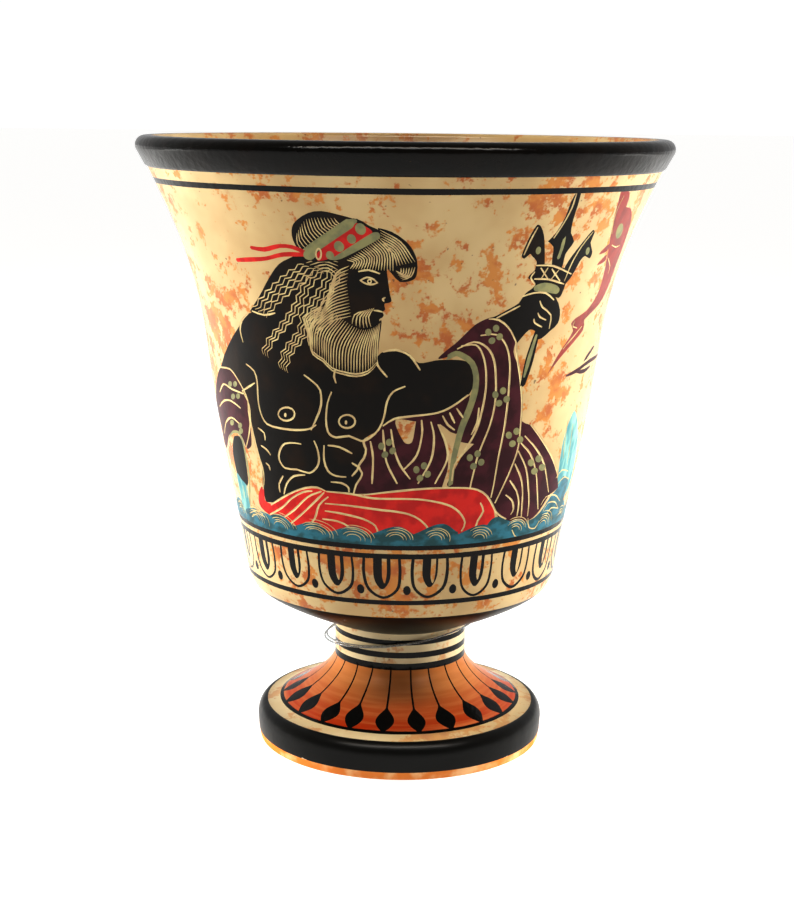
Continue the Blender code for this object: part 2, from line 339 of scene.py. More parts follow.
def turnedTree(materials):
    # Turns the profile about Z, cuts the intake hole and leaves out the stretches that are painted apart.
    tree, given = newTree("turned cup", (("Columns", "Int"), ("Intake Radius", "Float"),
                                         ("Intake Place", "Vector"), ("Intake Depth", "Float")))
    columns = given, "Columns"

    def add(kind, inputs=None, **settings):
        return addNode(tree, "GeometryNode" + kind, inputs, **settings)

    def wholeNumber(operation, first, second):
        return addNode(tree, "FunctionNodeIntegerMath", {0: first, 1: second}, operation=operation)

    def sample(value, index, kind):
        return add("SampleIndex", {"Geometry": given, "Value": value, "Index": index}, data_type=kind)

    def paintIs(number):
        inputs = {"A_INT": paint, "B_INT": number}
        return addNode(tree, "FunctionNodeCompare", inputs, data_type="INT", operation="EQUAL")

    size = add("AttributeDomainSize", {"Geometry": given})
    across = wholeNumber("ADD", columns, 1)
    grid = add("MeshGrid", {"Vertices X": (size, "Point Count"), "Vertices Y": across})
    index = add("InputIndex")
    row = wholeNumber("DIVIDE_FLOOR", index, across)
    column = wholeNumber("MODULO", index, across)
    faceRow = wholeNumber("DIVIDE_FLOOR", index, columns)
    line = sample(add("InputPosition"), row, "FLOAT_VECTOR")
    parts = addNode(tree, "ShaderNodeSeparateXYZ", {0: (line, "Value")})
    angle = addMath(tree, "MULTIPLY", addMath(tree, "DIVIDE", column, columns), 2 * math.pi)
    negative = addMath(tree, "MULTIPLY", addMath(tree, "SINE", angle), -1.0)
    x = addMath(tree, "MULTIPLY", parts, negative)
    y = addMath(tree, "MULTIPLY", parts, addMath(tree, "COSINE", angle))
    point = addNode(tree, "ShaderNodeCombineXYZ", {0: x, 1: y, 2: (parts, 2)})
    shape = add("SetPosition", {"Geometry": (grid, "Mesh"), "Position": point})
    for name, kind, domain, place in (("paint", "INT", "FACE", faceRow), ("station", "FLOAT", "POINT", row)):
        value = sample(add("InputNamedAttribute", {"Name": name}, data_type=kind), place, kind)
        shape = add("StoreNamedAttribute", {"Geometry": shape, "Name": name, "Value": value},
                    data_type=kind, domain=domain)
    shape = add("MergeByDistance", {"Geometry": shape, "Distance": 0.001 * mm})
    drill = add("MeshCylinder", {"Vertices": cupShape["intakeSides"], "Radius": (given, "Intake Radius"),
                                 "Depth": (given, "Intake Depth")})
    drill = add("Transform", {"Geometry": (drill, "Mesh"), "Translation": (given, "Intake Place"),
                              "Rotation": (math.pi / 2, 0, 0)})
    shape = add("MeshBoolean", {0: shape, 1: drill}, operation="DIFFERENCE", solver="EXACT")
    paint = add("InputNamedAttribute", {"Name": "paint"}, data_type="INT")
    shape = add("DeleteGeometry", {"Geometry": shape, "Selection": paintIs(-1)}, domain="FACE")
    shape = add("SetShadeSmooth", {"Geometry": shape})
    shape = add("RealizeInstances", {"Geometry": shape})
    for i, name in enumerate(paintOrder):
        shape = add("SetMaterial", {"Geometry": shape, "Selection": paintIs(i), "Material": materials[name]})
    addNode(tree, "NodeGroupOutput", {0: shape})
    return tree


def plainMesh(item, tree, values):
    # Runs a node tree on an object and gives the result as a plain mesh.
    modifier = item.modifiers.new(tree.name, "NODES")
    modifier.node_group = tree
    for socket in tree.interface.items_tree:
        if socket.name in values:
            modifier[socket.identifier] = values[socket.name]
    graph = bpy.context.evaluated_depsgraph_get()
    done = item.evaluated_get(graph)
    result = bpy.data.meshes.new_from_object(done, preserve_all_data_layers=True, depsgraph=graph)
    item.modifiers.remove(modifier)
    return result


# The painted stretches. Each is a flat sheet of angle and distance up the profile, cut along the edges of
# every brush mark and incised line and then wrapped round the cup.

def lengthsAlong(line):
    return np.concatenate([[0], np.cumsum(np.hypot(*np.diff(line, axis=0).T))])


def wallSurface(v):
    # The radius, the height, and the outward and upward parts of the normal.
    radius = wallRadius(v)
    lean = (wallRadius(v + 0.02) - wallRadius(v - 0.02)) / 0.04
    size = np.sqrt(1 + lean**2)
    return radius, v, 1 / size, -lean / size


def slopeSurface(v):
    line = np.array(slopePoints(bendSteps["slope"]))
    along = lengthsAlong(line)
    radius = np.interp(-v, along, line[:, 0])
    height = np.interp(-v, along, line[:, 1])
    tangent = np.gradient(line, along, axis=0)
    outward = np.interp(-v, along, -tangent[:, 1])
    upward = np.interp(-v, along, tangent[:, 0])
    size = np.hypot(outward, upward)
    return radius, height, outward / size, upward / size


def slopeLength():
    line = slopePoints(bendSteps["slope"])
    return sum(math.dist(a, b) for a, b in zip(line, line[1:]))


wallSheet = dict(
    surface=wallSurface, low=cupShape["bandLineHeight"], high=ringHeights["rimStripe"][0],
    spread=40.0,      # the radius at which the flat sheet has its true width
    grid=1.7, ground="ground", columns=cupShape["columns"],
)
footSheet = dict(
    surface=slopeSurface, low=-slopeLength(), high=0.0,
    spread=18.0, grid=1.2, ground="tongueWash", columns=cupShape["columns"],
)
incision = dict(
    depth=0.07, lineWidth=0.39, detailWidth=0.34, fineWidth=0.26, hairWidth=0.23,
    curveStep=1.1, leastStep=0.12, mostSteps=12,      # along a curve
    turnStep=15,      # degrees from one point of a curve to the next
    slopeLimit=1.2,
)


# The search for the wall starts this far in front of the axis and halves its span at each step.
castReach = 70
castSteps = 40


def castToWall(pixels):
    # Where the sight lines through pixels of the photograph meet the wall, as (angle, height).
    right, up, forward = (np.array(axis) for axis in viewAxes())
    pixels = np.asarray(pixels, float)
    across = (pixels[:, 0] - viewpoint["photoWidth"] / 2) / viewpoint["focalPixels"]
    down = (pixels[:, 1] - viewpoint["photoHeight"] / 2) / viewpoint["focalPixels"]
    rays = forward + across[:, None] * right - down[:, None] * up
    eye = np.array((0, -viewpoint["back"], viewpoint["height"]))
    level = (rays[:, :2] ** 2).sum(1)
    far = -(rays[:, :2] @ eye[:2]) / level
    near = far - castReach / np.sqrt(level)
    for _ in range(castSteps):
        middle = (near + far) / 2
        spot = eye + middle[:, None] * rays
        height = np.clip(spot[:, 2], cupShape["bandLineHeight"], cupShape["lipRootHeight"])
        outside = np.hypot(spot[:, 0], spot[:, 1]) > wallRadius(height)
        near = np.where(outside, middle, near)
        far = np.where(outside, far, middle)
    spot = eye + far[:, None] * rays
    return np.stack([np.arctan2(spot[:, 0], -spot[:, 1]), spot[:, 2]], 1)


def smoothLine(points, closed=False, unit=6.0):
    # A curve through the points; a point given twice in a row is a corner. unit says how many of the
    # points' own units make a millimetre: about 6 for photo pixels.
    points = [np.array(p, float) for p in points]
    corners = [i for i in range(len(points)) if np.allclose(points[i], points[(i + 1) % len(points)])]
    kept = [p for i, p in enumerate(points) if i not in corners]
    sharp = set()
    for i in corners:
        sharp.add((i + 1 - sum(1 for j in corners if j <= i)) % len(kept))
    count = len(kept)
    line = []
    for i in range(count if closed else count - 1):
        a, b = kept[i], kept[(i + 1) % count]
        before = a if i in sharp or (not closed and i == 0) else kept[i - 1]
        j = (i + 1) % count
        after = b if j in sharp or (not closed and j == count - 1) else kept[(j + 1) % count]
        span = np.linalg.norm(b - a)
        slopes, sizes = [], []
        for slope in ((b - before) / (1 if before is a else 2), (after - a) / (1 if after is b else 2)):
            size = np.linalg.norm(slope)
            slopes.append(slope * min(1, incision["slopeLimit"] * span / size) if size else slope)
            sizes.append(np.linalg.norm(slopes[-1]))
        cosine = slopes[0] @ slopes[1] / (sizes[0] * sizes[1] + 1e-9)
        turn = math.degrees(math.acos(max(-1, min(1, cosine))))
        steps = math.ceil(min(span / (incision["curveStep"] * unit), incision["mostSteps"]))
        steps = max(1, steps, math.ceil(turn / incision["turnStep"]))
        steps = min(steps, max(1, math.ceil(span / (incision["leastStep"] * unit))))
        line += [hermite(k / steps, a, slopes[0], b, slopes[1]) for k in range(steps)]
    if not closed:
        line.append(kept[-1])
    return np.array(line)


def area(paint, spots):
    return dict(paint=paint, spots=np.asarray(spots), half=None)


def stroke(paint, spots, width, taper=0.7, seed=0):
    # taper is the share of the width that is left at the two ends.
    along = np.linspace(0, 1, len(spots))
    swell = taper + (1 - taper) * np.minimum(1, 5 * np.minimum(along, 1 - along))
    hand = 1 + 0.10 * np.sin(along * 9 + seed)
    return dict(paint=paint, spots=np.asarray(spots), half=width / 2 * swell * hand)


def ringArea(sheet, paint, low, high, wobble=0.05, seed=0):
    # A painted ring right round; its edges wander a little, as a brush on a turning wheel leaves them.
    angles = np.linspace(-math.pi, math.pi, sheet["columns"] + 1)
    edges = []
    for level, phase in ((low, seed), (high, seed + 2.1)):
        drift = wobble * (np.sin(5 * angles + phase) + 0.7 * np.sin(13 * angles + 2 * phase)) / 1.7
        inside = sheet["low"] + 1e-6 < level < sheet["high"] - 1e-6
        edges.append(np.stack([angles, level + (drift if inside else 0 * drift)], 1))
    return dict(paint=paint, spots=np.concatenate([edges[0], edges[1][::-1]]), half=None, ring=True)


def metric(sheet, spots):
    return sheet["surface"](spots[:, 1])[0]


def strokeSides(sheet, mark):
    spots, half = mark["spots"], mark["half"]
    radius = metric(sheet, spots)
    step = np.gradient(spots, axis=0)
    step[:, 0] *= radius
    step /= np.maximum(np.linalg.norm(step, axis=1), 1e-9)[:, None]
    across = np.stack([-step[:, 1] / radius, step[:, 0]], 1) * half[:, None]
    along = np.stack([step[:, 0] / radius, step[:, 1]], 1) * half[:, None] * 0.8
    return spots + across, spots - across, spots[0] - along[0], spots[-1] + along[-1]


def insideArea(outline, spots):
    # Even-odd test of many spots against one closed outline.
    found = np.zeros(len(spots), bool)
    ends = np.roll(outline, -1, axis=0)
    for (ax, ay), (bx, by) in zip(outline, ends):
        if ay == by:
            continue
        crosses = (ay > spots[:, 1]) != (by > spots[:, 1])
        where = ax + (spots[:, 1] - ay) * (bx - ax) / (by - ay)
        found ^= crosses & (spots[:, 0] < where)
    return found


def strokeShare(sheet, mark, spots):
    # How far each spot is from the stroke's middle, as a share of the stroke's half width there.
    radius = metric(sheet, spots)[:, None]
    line, half = mark["spots"], mark["half"]
    ax = (line[None, :-1, 0] - spots[:, None, 0]) * radius
    ay = line[None, :-1, 1] - spots[:, None, 1]
    bx = (line[None, 1:, 0] - spots[:, None, 0]) * radius
    by = line[None, 1:, 1] - spots[:, None, 1]
    dx, dy = bx - ax, by - ay
    t = np.clip(-(ax * dx + ay * dy) / np.maximum(dx * dx + dy * dy, 1e-12), 0, 1)
    away = np.hypot(ax + t * dx, ay + t * dy) / (half[None, :-1] * (1 - t) + half[None, 1:] * t)
    return away.min(1)


def cutSheet(sheet, marks):
    # Gives the sheet's corners, triangles, the paint of each and the depth of the incisions.
    spread, low, high, columns = sheet["spread"], sheet["low"], sheet["high"], sheet["columns"]
    points, edges = [], []

    def addLine(spots, closed):
        first = len(points)
        points.extend((float(a) * spread, float(v)) for a, v in spots)
        last = len(points) - 1
        edges.extend((i, i + 1) for i in range(first, last))
        if closed:
            edges.append((last, first))

    angles = [math.pi * (2 * i / columns - 1) for i in range(columns + 1)]
    rows = round((high - low) / sheet["grid"])
    sides = [low + (high - low) * i / rows for i in range(rows + 1)]
    border = [(a, low) for a in angles] + [(math.pi, v) for v in sides[1:-1]]
    border += [(a, high) for a in angles[::-1]] + [(-math.pi, v) for v in sides[-2:0:-1]]
    addLine(border, True)
    around = round(2 * math.pi * spread / sheet["grid"])
    for i in range(1, rows):
        shift = 0.75 if i % 2 else 0.25
        points.extend((spread * math.pi * (2 * (j + shift) / around - 1), sides[i]) for j in range(around))
    copies = []
    for mark in marks:
        for turn in (-2 * math.pi, 0.0, 2 * math.pi):
            spots = mark["spots"] + (turn, 0)
            if mark.get("ring") and turn:
                continue
            if spots[:, 0].max() > -math.pi and spots[:, 0].min() < math.pi:
                copies.append(dict(mark, spots=spots))
    for mark in copies:
        if mark["half"] is None:
            if mark.get("ring"):
                half = len(mark["spots"]) // 2
                for run in (mark["spots"][:half], mark["spots"][half:]):
                    if low + 1e-6 < run[0, 1] < high - 1e-6:
                        addLine(run, False)
            else:
                addLine(mark["spots"], True)
        else:
            left, right, start, end = strokeSides(sheet, mark)
            addLine(np.concatenate([[start], left, [end], right[::-1]]), True)
            if mark["paint"] == "incised":
                addLine(mark["spots"], False)
    found = delaunay_2d_cdt([Vector(p) for p in points], edges, [], 0, 1e-4, False)
    corners = np.array([tuple(p) for p in found[0]])
    corners[:, 0] /= spread
    faces = np.array(found[2])
    middles = corners[faces].mean(axis=1)
    kept = (np.abs(middles[:, 0]) < math.pi) & (middles[:, 1] > low) & (middles[:, 1] < high)
    faces, middles = faces[kept], middles[kept]
    paints = np.full(len(faces), paintOrder.index(sheet["ground"]))
    depths = np.zeros(len(corners))
    grooved = np.zeros(len(faces), bool)
    for mark in copies:
        reach = 0.0 if mark["half"] is None else float(mark["half"].max())
        margin = np.array((reach / 12, reach))
        lowest, highest = mark["spots"].min(0) - margin, mark["spots"].max(0) + margin
        near = np.flatnonzero(((middles > lowest) & (middles < highest)).all(1))
        if mark["half"] is None:
            hit = near[insideArea(mark["spots"], middles[near])]
        else:
            hit = near[strokeShare(sheet, mark, middles[near]) < 0.99]
        paints[hit] = paintOrder.index(mark["paint"])
        cut = mark["paint"] == "incised" and mark["half"] is not None
        grooved[hit] = cut
        if cut:
            close = np.flatnonzero(((corners > lowest) & (corners < highest)).all(1))
            share = strokeShare(sheet, mark, corners[close])
            depths[close] = np.maximum(depths[close], incision["depth"] * np.clip(1.02 - share, 0, 1))
    return corners, faces, paints, depths, grooved


def wrapSheet(sheet, marks):
    corners, faces, paints, depths, grooved = cutSheet(sheet, marks)
    radius, height, outward, upward = sheet["surface"](corners[:, 1])
    sine, cosine = np.sin(corners[:, 0]), np.cos(corners[:, 0])
    normals = np.stack([sine * outward, -cosine * outward, upward], 1)
    places = np.stack([sine * radius, -cosine * radius, height], 1) - normals * depths[:, None]
    return dict(places=places * mm, faces=faces, paints=paints, grooved=grooved, normals=normals)


# The painted picture: a bearded sea god with a trident, drawn in photo pixels on its broad areas.
# A point given twice is a corner. Widths are millimetres on the cup.
def areaPx(paint, pixels):
    return area(paint, castToWall(smoothLine(pixels, True)))


def areasPx(paint, outlines):
    return [areaPx(paint, outline) for outline in outlines]


def linePx(pixels, width=0.0, paint="incised", taper=0.7):
    return stroke(paint, castToWall(smoothLine(pixels)), width or incision["lineWidth"], taper, pixels[0][0])


def linesPx(lines, *settings):
    return [linePx(line, *settings) for line in lines]


def turned(spots, degrees):
    lean = math.radians(degrees)
    x, y = np.asarray(spots, float).T
    return np.stack([x * math.cos(lean) - y * math.sin(lean), x * math.sin(lean) + y * math.cos(lean)], 1)


def ovalSpots(centre, radii, count, turn=0.0):
    angles = 2 * math.pi * np.arange(count) / count
    return turned(np.stack([radii[0] * np.cos(angles), radii[1] * np.sin(angles)], 1), turn) + centre


def ovalPx(paint, centre, radii, turn=0.0):
    return area(paint, castToWall(ovalSpots(centre, radii, 14, turn)))


def ringPx(centre, radii, width):
    angles = 2 * math.pi * np.arange(17) / 16 + 0.3
    spots = np.stack([radii[0] * np.cos(angles), radii[1] * np.sin(angles)], 1) + centre
    return stroke("incised", castToWall(spots), width, 1.0)


def dotCluster(centre):
    # A diamond of dots, the pattern on the cloak.
    marks = []
    for i in range(4):
        a = math.radians(200 + 90 * i)
        spot = (centre[0] + cloth["dotReach"][0] * math.cos(a),
                centre[1] + cloth["dotReach"][1] * math.sin(a))
        marks.append(ovalPx("olive", spot, cloth["dotSize"], 15 * i))
    return marks


def combedLines(starts, ends, count, bow, width):
    # Strands spread evenly between two guide lines, each bowed sideways by bow pixels, or by the first of a
    # pair of bows at one side to the second at the other.
    starts, ends = smoothLine(starts), smoothLine(ends)
    bows = bow if isinstance(bow, tuple) else (bow, bow)

    def along(line, share):
        place = share * (len(line) - 1)
        k = min(int(place), len(line) - 2)
        return line[k] + (line[k + 1] - line[k]) * (place - k)

    marks = []
    for i in range(count):
        share = i / (count - 1)
        a, b = along(starts, share), along(ends, share)
        side = np.array((a[1] - b[1], b[0] - a[0])) / max(np.linalg.norm(b - a), 1)
        marks.append(linePx([a, (a + b) / 2 + side * np.interp(share, (0, 1), bows), b], width, taper=0.35))
    return marks


def wavyLine(guide, wave, pitch, width):
    # A crimped lock: the guide line with a zigzag across it.
    line = smoothLine(guide)
    lengths = lengthsAlong(line)
    count = max(4, round(lengths[-1] / pitch * 2))
    places = np.linspace(0, lengths[-1], count + 1)
    spots = np.stack([np.interp(places, lengths, line[:, 0]), np.interp(places, lengths, line[:, 1])], 1)
    step = np.gradient(spots, axis=0)
    step /= np.linalg.norm(step, axis=1)[:, None]
    across = np.stack([-step[:, 1], step[:, 0]], 1)
    spots += across * (wave * np.where(np.arange(count + 1) % 2, 1, -1))[:, None]
    return linePx(list(spots), width, taper=0.5)


godShape = dict(
    body=((250, 313), (243, 317), (240, 325), (233, 336), (225, 353), (221, 367), (221, 367), (237, 378),
        (247, 400), (250, 421), (255, 439), (262, 467), (263, 488), (266, 502), (266, 502), (330, 505),
        (355, 500), (354, 492), (354, 492), (360, 480), (362, 472), (359, 465), (366, 452), (362, 441),
        (379, 430), (394, 419), (410, 416), (438, 412), (455, 405), (470, 393), (474, 378), (468, 362),
        (440, 360), (419, 363), (408, 353), (396, 349), (384, 351), (378, 356), (378, 356), (370, 330),
        (330, 300), (290, 300)),
    hairMass=((302, 252), (292, 257), (279, 264), (269, 278), (260, 295), (250, 311), (250, 311),
        (275, 330), (320, 345), (345, 300), (345, 262), (330, 250)),
    hairCap=((303, 255), (293, 240), (292, 227), (298, 219), (308, 213), (321, 211), (340, 215), (357, 220),
        (368, 225), (379, 234), (379, 234), (345, 268), (320, 262)),
    frontRoll=((335, 252), (378, 232), (378, 228), (392, 232), (403, 239), (411, 247), (417, 260),
        (417, 273), (413, 280), (400, 282), (392, 274), (385, 268), (360, 268), (347, 262)),
    forearm=((234, 437), (240, 437), (244, 450), (248, 478), (247, 486), (241, 485), (237, 473),
        (233, 452)),
    hand=((489, 319), (496, 316), (509, 309), (519, 303), (525, 294), (535, 288), (548, 291), (556, 298),
        (560, 310), (558, 323), (550, 331), (542, 338), (537, 339), (536, 332), (529, 330), (518, 342),
        (517, 344), (517, 344), (513, 335), (508, 327), (499, 320)),
)

# The face is a plain drawn profile, worked out from a head height and common proportions.
face = dict(
    crown=(331, 211), height=122, tilt=-9,
    profile=((0.50, 0.32), (0.53, 0.42), (0.545, 0.47), (0.585, 0.60), (0.605, 0.645), (0.59, 0.668),
        (0.555, 0.680), (0.556, 0.705), (0.565, 0.730), (0.545, 0.752), (0.560, 0.772), (0.552, 0.797),
        (0.530, 0.815), (0.54, 0.86), (0.50, 0.93), (0.30, 0.95), (0.12, 0.80), (0.08, 0.40)),
    brow=((0.30, 0.455), (0.38, 0.430), (0.475, 0.445)),
    eyeUpper=((0.325, 0.525), (0.375, 0.492), (0.435, 0.500), (0.470, 0.522)),
    eyeLower=((0.325, 0.525), (0.380, 0.545), (0.435, 0.540), (0.470, 0.522)),
    iris=(0.402, 0.520), irisSize=0.020, pupilShare=0.45,
    nostril=((0.548, 0.632), (0.532, 0.648), (0.545, 0.664)),
    mouth=((0.475, 0.750), (0.510, 0.748), (0.545, 0.752)),
)


def facePx(spots):
    return turned(spots, -face["tilt"]) * face["height"] + face["crown"]


def headMarks():
    outlines = (facePx(face["profile"]), godShape["frontRoll"], godShape["hairCap"])
    marks = areasPx("figureBlack", outlines)
    lines = [facePx(face[name]) for name in ("brow", "eyeUpper", "eyeLower", "nostril", "mouth")]
    marks += linesPx(lines, incision["detailWidth"])
    eye, size = facePx([face["iris"]])[0], face["irisSize"] * face["height"]
    marks.append(ovalPx("incised", eye, (size, size)))
    marks.append(ovalPx("figureBlack", eye, (size * face["pupilShare"], size * face["pupilShare"])))
    return marks


beard = dict(
    shape=((345, 300), (352, 325), (364, 329), (374, 327), (381, 320), (381, 328), (379, 342), (378, 354),
        (376, 365), (368, 372), (356, 375), (341, 372), (331, 367), (323, 359), (311, 350), (308, 341),
        (312, 324), (318, 311)),
    cheek=((321, 306), (333, 312), (344, 320), (354, 327), (364, 330), (373, 328), (380, 323)),
    hem=((309, 338), (313, 351), (323, 358), (332, 367), (344, 371), (356, 373), (368, 370), (377, 361)),
    hemDrops=(1.0, 3.4), hemWidth=0.28,
)
# Each lock of hair: its line, how many strands lie side by side, and the step from one to the next.
locks = (
    (((303, 263), (287, 273), (268, 290), (253, 308)), 5, (5.0, 3.6)),
    (((318, 266), (303, 284), (294, 304), (282, 322), (267, 340), (262, 354)), 3, (4.2, 2.6)),
    (((331, 268), (318, 290), (302, 312), (298, 330), (283, 350), (279, 368)), 4, (4.2, 2.4)),
)


lockWave = dict(reach=1.5, pitch=10.5)
# Combed hair: the guide lines where its strands start and end, how many there are, how far they bow in
# pixels, and their share of the hair's line width.
crownCombs = (
    (((303, 251), (325, 238), (346, 224)), ((297, 233), (307, 219), (334, 218)), 15, -3, 0.9),
    (((347, 260), (362, 250), (379, 238)), ((350, 269), (371, 270), (393, 271)), 16, -6, 1),
    (((380, 230), (381, 238), (384, 247)), ((415, 262), (406, 264), (397, 266)), 7, (-5, -4), 1),
    (((415, 267), (408, 268), (401, 268)), ((402, 280), (399, 276), (396, 271)), 6, -4, 1),
    (((306, 263), (314, 267), (320, 271)), ((338, 262), (338, 270), (336, 280)), 5, -4, 1),
)
beardCombs = (
    (((349, 266), (347, 284), (349, 300), (351, 316)), ((331, 284), (325, 304), (318, 320), (315, 334)),
        16, 4, 1),
    (((330, 292), (322, 308), (312, 326)), ((319, 316), (312, 332), (309, 346)), 6, 3, 1),
    (((374, 308), (369, 309), (363, 311)), ((371, 327), (362, 328), (352, 324)), 6, 4, 1),
    (beard["cheek"], beard["hem"], 32, (11, 1), 1),
)
shoulderLine = ((252, 311), (264, 315), (275, 313))


def hairMarks():
    hair = incision["hairWidth"]
    marks = []
    for starts, ends, count, bow, share in crownCombs:
        marks += combedLines(starts, ends, count, bow, hair * share)
    for guide, count, (right, down) in locks:
        for i in range(count):
            moved = [(x + right * i * (0.5 + 0.5 * (len(guide) - k) / len(guide)), y + down * i * 0.6)
                     for k, (x, y) in enumerate(guide)]
            marks.append(wavyLine(moved, lockWave["reach"], lockWave["pitch"], hair))
    for starts, ends, count, bow, share in beardCombs:
        marks += combedLines(starts, ends, count, bow, hair * share)
    for drop in beard["hemDrops"]:
        marks.append(linePx([(x, y + drop) for x, y in beard["hem"]], beard["hemWidth"], taper=0.4))
    marks.append(linePx(shoulderLine, 0.36))
    return marks


fillet = dict(
    band=((302, 252), (346, 220), (357, 219), (368, 225), (380, 235), (345, 258), (318, 262), (306, 259)),
    upper=((302, 250), (346, 219), (346, 219), (357, 220), (353, 228), (353, 228), (318, 251), (310, 255)),
    red=((319, 261), (318, 252), (352, 228), (357, 223), (372, 231), (367, 239), (342, 255), (342, 255)),
    lower=((334, 257), (372, 233), (379, 233), (379, 239), (341, 259), (330, 260)),
    dots=((360.5, 229, 5.8), (351.5, 239, 4.8), (339, 246.5, 5.4), (330, 255.5, 4.4)),
    knot=(309.5, 254.5), knotSize=(6.3, 5.6), loop=((318.5, 254.0), (2.6, 5.4), 0.3), ribbonWidth=0.75,
    ribbons=(((303, 251.5), (292, 247), (279, 246), (264, 249.5), (251, 247.5)), ((302, 254.5),
        (283, 254.5), (266, 258.5), (250, 259.5), (237, 260))),
)


def filletMarks():
    layers = (("figureBlack", "band"), ("olive", "upper"), ("red", "red"), ("olive", "lower"))
    marks = [areaPx(paint, fillet[name]) for paint, name in layers]
    for x, y, size in fillet["dots"]:
        marks.append(ovalPx("olive", (x, y), (size * 1.08, size * 0.9), 55))
    marks += linesPx(fillet["ribbons"], fillet["ribbonWidth"], "red", 0.9)
    marks.append(ovalPx("olive", fillet["knot"], fillet["knotSize"]))
    marks.append(ringPx(*fillet["loop"]))
    return marks


bodyLines = (
    ((246, 364), (254, 371), (257, 382), (258, 400), (261, 414), (267, 424), (279, 428), (295, 430),
        (309, 429), (316, 425)),
    ((304, 375), (313, 382), (320, 390), (321, 405), (317, 417), (311, 430)),
    ((335, 370), (334, 377), (336, 383)),
    ((331.5, 392), (327.5, 403), (326, 419), (328, 432), (336, 437.5), (349, 436), (361, 441), (370, 438),
        (379, 429), (384, 417), (387, 402), (393, 392), (405, 386.5)),
    ((301, 444), (295, 443), (285, 443.5), (280, 450), (279, 459), (285, 468), (297, 469.5), (309, 473),
        (317, 467), (319, 458), (317, 448), (314, 441)),
    ((324, 445.5), (324, 460), (328, 471), (336, 476), (346, 477)),
    ((328, 445.5), (339, 447), (352, 453.5)),
    ((363, 441.5), (366, 449), (364, 458), (358.5, 466), (362, 473), (360, 479), (356, 485), (353.5, 494)),
    ((352, 463), (358, 468), (352, 476)), ((283, 476), (279, 484), (280, 492)),
    ((284, 494), (286.5, 484), (294, 476), (305, 475)), ((331, 482), (341, 483), (348, 487), (349, 492)),
    ((258, 428), (264, 433), (265, 440)), ((261, 445.5), (266.5, 449.5), (270.5, 455)),
    ((266, 463), (269, 466), (270, 470)), ((242, 391), (254.5, 383)),
    ((248, 313.5), (242, 320), (240, 330), (243, 342)), ((383, 352), (396, 350), (410, 356), (420, 370)),
    ((376, 353), (377.5, 365), (387, 377)),
    ((383, 426), (394, 419), (410, 416.5), (437, 413), (453, 406), (468, 395)),
    ((242.5, 391), (249, 405), (250.5, 421), (254.5, 439), (258, 454), (262.5, 467), (264, 479),
        (263, 489)),
)


nipples = (((286.3, 414), (8.2, 6.7)), ((347, 421.5), (8.2, 6.6)))


def bodyMarks():
    marks = linesPx(bodyLines)
    for (x, y), radii in nipples:
        marks.append(ringPx((x, y), radii, 0.36))
        marks.append(ovalPx("incised", (x - 1, y + 1), (1.3, 2.2)))
    return marks


